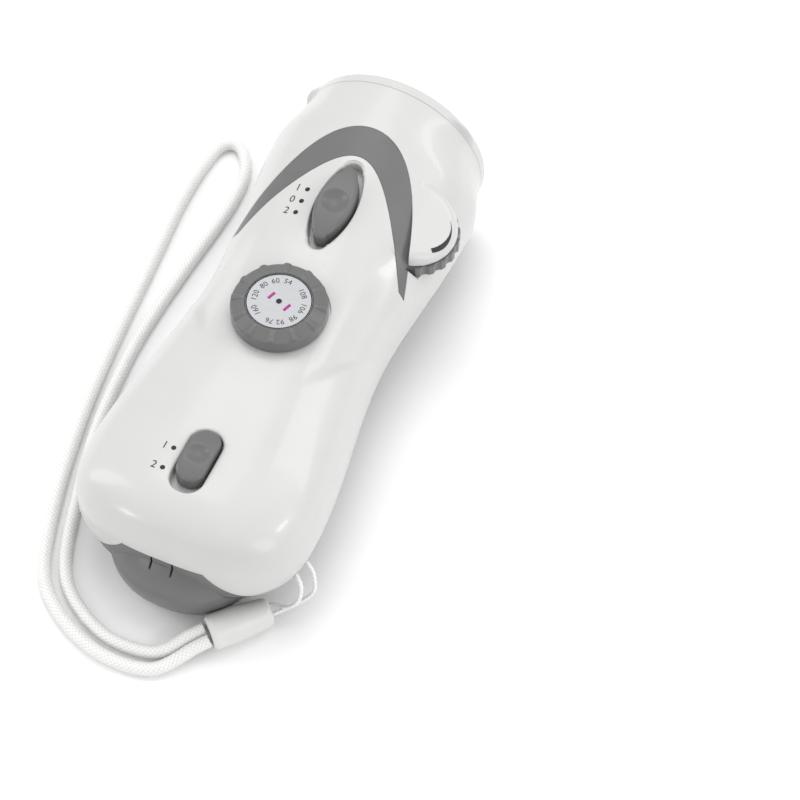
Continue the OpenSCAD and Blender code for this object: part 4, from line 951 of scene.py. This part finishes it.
class TORCH_OT_controls(bpy.types.Operator):
    """Add the ribbed tuning dial, its numbered label, and finishes of the switches and volume wheel."""

    bl_idname = "torch.controls"
    bl_label = "Add controls"

    def execute(self, context):
        self.dial()
        self.label()
        dress(dark_grey="volume_wheel")
        almond_l, band_l = LAMP_SLOT_L - LAMP_TRAVEL - 0.4, BAND_SLOT_L - 0.25 - BAND_TRAVEL / 2
        button("light_button_skin", lambda g: slot_outline(4.4 - g, almond_l - g, 1.8 - g), -2.9, -8.6,
               lambda y: math.sqrt(60 ** 2 - y * y) - 57.6, (8.05, 6.55), at_lamp(),
               "light_slider", "light_switch_button")
        button("band_button_skin", lambda g: round_rect(3.5 - g, band_l - g, 3.3 - g), -2.8, -7.4,
               lambda y: math.sqrt(26 ** 2 - y * y) - 24.4, (6.2, 5.3),
               shift(0, BAND_Y + BAND_TRAVEL / 2, TAIL_H), "band_slider", "band_switch_button")
        dress(black="light_switch_body band_switch_body", pot="volume_pot", cream="tuning_capacitor",
              brass="tuning_shaft", steel="wheel_screw", label="dial_label")
        return {"FINISHED"}

    def dial(self):
        """Polar skin: a rounded profile with soft ribs on its slope."""
        top_r, lean = LABEL_R + 0.5, 1.25
        foot_r, shoulder_r, crest_r = 0.35, 0.6, 0.4
        bend = [polar(foot_r, a, DIAL_R - foot_r, foot_r) for a in np.linspace(-1.57, 0, 5)]
        shoulder = [polar(shoulder_r, a, DIAL_R - shoulder_r, DIAL_H - 1.5) for a in np.linspace(0, lean, 10)]
        crest = [polar(crest_r, a, top_r - 0.2, DIAL_H - crest_r) for a in np.linspace(lean, 1.57, 4)]
        slope = [(mix(shoulder[-1][0], crest[0][0], k), mix(shoulder[-1][1], crest[0][1], k))
                 for k in np.linspace(0, 1, 18)[1:-1]]
        rim = [(LABEL_R + 0.2, DIAL_H), (LABEL_R + 0.2, DIAL_H - DIAL_SINK)]
        profile = [(0.0, 0.0)] + bend + shoulder + slope + crest + rim + [(0.0, DIAL_H - DIAL_SINK)]
        n, ribs, rib_r, lean_out, lean_up = 720, 12, 8.4, 0.316, 0.949
        verts = []
        for r, z in profile:
            u = min(1.0, max(0.0, (r - rib_r) / 2.6))
            fade = smooth((DIAL_R + 0.02 - r) / 0.4) * (r > rib_r - 0.1) * (z > 1.5)
            tall, wide = mix(0.2, 0.62, u) * fade, mix(0.55, 1.0, u)
            for k in range(n):
                a = math.tau * k / n
                off = (a * ribs / math.tau) % 1 - 0.5
                rib = tall * math.sqrt(max(0.0, 1 - (off * math.tau / ribs * r / wide) ** 2))
                rr = min(r + lean_out * rib, DIAL_R)
                verts.append((*polar(rr, a), min(z + lean_up * rib, DIAL_H)))
        dial = solid("tuning_dial_skin", verts, tube_faces(len(profile), n))
        dial.data.transform(shift(0, DIAL_Y, dial_base()))
        finish_piece(dial, "tuning", mat("dark_grey"), ["tuning_dial"], angle=50)

    def label(self):
        z, thin = dial_base() + DIAL_H - 0.09, 0.01
        scale = (("54", 94), ("60", 123), ("80", 152), ("120", 187), ("160", 229), ("108", 45), ("106", 3),
                 ("98", -31), ("92", -62), ("76", -87))
        r = 0.74 * LABEL_R
        items = [(text, *polar(r, math.radians(a), 0, DIAL_Y), a - 90) for text, a in scale]
        lettering("dial_numbers", items, 1.35, "tuning", z)
        prints = [(prism("dial_centre_dot", disc(0.7, 0, DIAL_Y, 40), z - thin, z + thin), "ink_black")]
        for i, (a, r) in enumerate(((161, 2.4), (-20, 2.6))):
            aim = shift(0, DIAL_Y, 0) @ turn(math.radians(a), "Z")
            bar = prism("dial_bar_%d" % i, rect(r - 0.35, -1.1, r + 0.35, 1.1), z - thin, z + thin, aim)
            prints.append((bar, "ink_red"))
        ring = prism("dial_outline", disc(LABEL_R - 0.05, 0, DIAL_Y, 120), z - 0.012, z + 0.006)
        cut(ring, prism("inside", disc(LABEL_R - 0.35, 0, DIAL_Y, 120), z - 1, z + 1))
        for obj, tint in prints + [(ring, "ink_black")]:
            finish_piece(obj, "tuning", mat(tint), angle=0)


class TORCH_OT_prints(bpy.types.Operator):
    """Add the plain printed marks beside the switches and the volume wheel."""

    bl_idname = "torch.prints"
    bl_label = "Add prints"

    def execute(self, context):
        numbers = []
        for name, dot_x, text_x, marks in (("light_dot_", -8.15, -10.6, LIGHT_MARKS),
                                           ("band_dot_", -6.2, -8.4, BAND_MARKS)):
            for i, (text, y) in enumerate(marks):
                film(name + str(i), disc(0.6, dot_x, y, 28))
                numbers.append((text, text_x, y, 0))
        self.crescent()
        lettering("switch_numbers", numbers, 1.9, "housing", None)
        return {"FINISHED"}

    def crescent(self):
        """Black wedge on the hood that thickens towards full volume."""
        cx, cy, mid_r, n = 20.2, 36.7, 6.7, 40
        verts = []
        for k in range(n + 1):
            a = math.radians(mix(38, -49, k / n))
            half = mix(0.05, 0.55, smooth(k / n * 1.2))
            for r in np.linspace(mid_r - half, mid_r + half, 7):
                x, y = polar(r, a, cx, cy)
                verts.append((x, y, hood_top(x, y) + 2 * PRINT_LIFT))
        faces = [(7 * k + i, 7 * k + i + 1, 7 * k + i + 8, 7 * k + i + 7) for k in range(n) for i in range(6)]
        wedge = solid("volume_wedge", verts, faces, closed=False)
        finish_piece(wedge, "housing", mat("ink_black"), angle=0)


class TORCH_OT_lamp(bpy.types.Operator):
    """Finish the lamp: bezel, lens, reflector and LEDs."""

    bl_idname = "torch.lamp"
    bl_label = "Finish lamp"

    def bezel(self):
        """Rim ring with three lugs that rise softly from it, cut flat where the torch rests."""
        centre = RIM_R + LUG_H - LUG_R
        profile = [(0.0, 0.0, 0.0)] + [(t, 0.0, smooth(t / 1.1)) for t in np.linspace(0.1, 1.1, 9)]
        profile += [(t, 0.0, smooth((1.9 - t) / 0.5)) for t in np.linspace(1.4, 1.9, 6)]
        profile += [(2 + math.sin(a), math.cos(a) - 1, 0.0) for a in np.linspace(0, math.pi / 2, 10)]
        inside = ((3.0, -5.0), (0.7, -5.0), (0.7, -4.2), (-3.2, -4.2), (-3.2, -3.1), (0.0, -3.1))
        profile += [(t, inset, 0.0) for t, inset in inside]
        n, verts = 288, []
        for k in range(n):
            a = math.tau * k / n
            near = min(abs((a - math.radians(c) + math.pi) % math.tau - math.pi) for c in LUG_ANGLES)
            lug = 0.0
            if near < 0.6:
                reach = centre * math.cos(near) + math.sqrt(LUG_R ** 2 - (centre * math.sin(near)) ** 2)
                lug = max(0.0, reach - RIM_R)
            for t, inset, share in profile:
                r = RIM_R + inset + lug * share
                verts.append((r * math.cos(a), FRONT_Y + 0.05 + t * 0.98, RIM_Z + r * math.sin(a)))
        faces = [tuple(v % len(verts) for v in face) for face in tube_faces(n + 1, len(profile))]
        ring = solid("bezel_skin", verts, faces)
        cut(ring, under_floor())
        finish_piece(ring, "housing", mat("white"), ["front_bezel"], angle=40)

    def execute(self, context):
        self.bezel()
        dress(lens="lens", mirror="reflector", led="leds")
        return {"FINISHED"}


class TORCH_OT_works(bpy.types.Operator):
    """Finish the folding crank, the charging port, the screws and the parts inside the housing."""

    bl_idname = "torch.works"
    bl_label = "Finish crank and inside"

    def execute(self, context):
        dress(white="crank_arm", grey="crank_knob", brass="crank_bush", rubber="port_cover",
              steel="crank_screw knob_hinge_pin knob_spindle housing_screws crank_shaft gear_pins"
                    " gearbox_screws board_screws rotor_shaft",
              pressed="usb_socket gearbox_plate dynamo_housing", board="led_board main_board",
              nylon="crank_gear idler_gear_1 idler_gear_2", copper="dynamo_coil", copper_x="antenna_coil",
              magnet="dynamo_rotor speaker_magnet", black="speaker_frame", paper="speaker_cone",
              sleeve="battery_cells", wrap="battery_wrap", ferrite="ferrite_rod")
        return {"FINISHED"}


class TORCH_PT_panel(bpy.types.Panel):
    """Settings and steps of the torch's looks."""

    bl_idname = "TORCH_PT_panel"
    bl_label = "Crank torch"
    bl_space_type = "VIEW_3D"
    bl_region_type = "UI"
    bl_category = "Torch"

    def draw(self, context):
        settings = context.scene.torch
        for name in ("skin_rows", "skin_across", "braid_pitch", "camera_lens", "camera_at", "key_power"):
            self.layout.prop(settings, name)
        for step in STEPS:
            self.layout.operator(step.bl_idname)


STEPS = (TORCH_OT_stage, TORCH_OT_strap, TORCH_OT_shells, TORCH_OT_controls, TORCH_OT_prints, TORCH_OT_lamp,
         TORCH_OT_works)
CLASSES = (TorchSettings, *STEPS, TORCH_PT_panel)


def register():
    for c in CLASSES:
        bpy.utils.register_class(c)
    bpy.types.Scene.torch = PointerProperty(type=TorchSettings)


def unregister():
    del bpy.types.Scene.torch
    for c in reversed(CLASSES):
        bpy.utils.unregister_class(c)


def main():
    register()
    for step in STEPS:
        getattr(bpy.ops.torch, step.bl_idname.split(".")[1])()


if __name__ == "__main__":
    main()
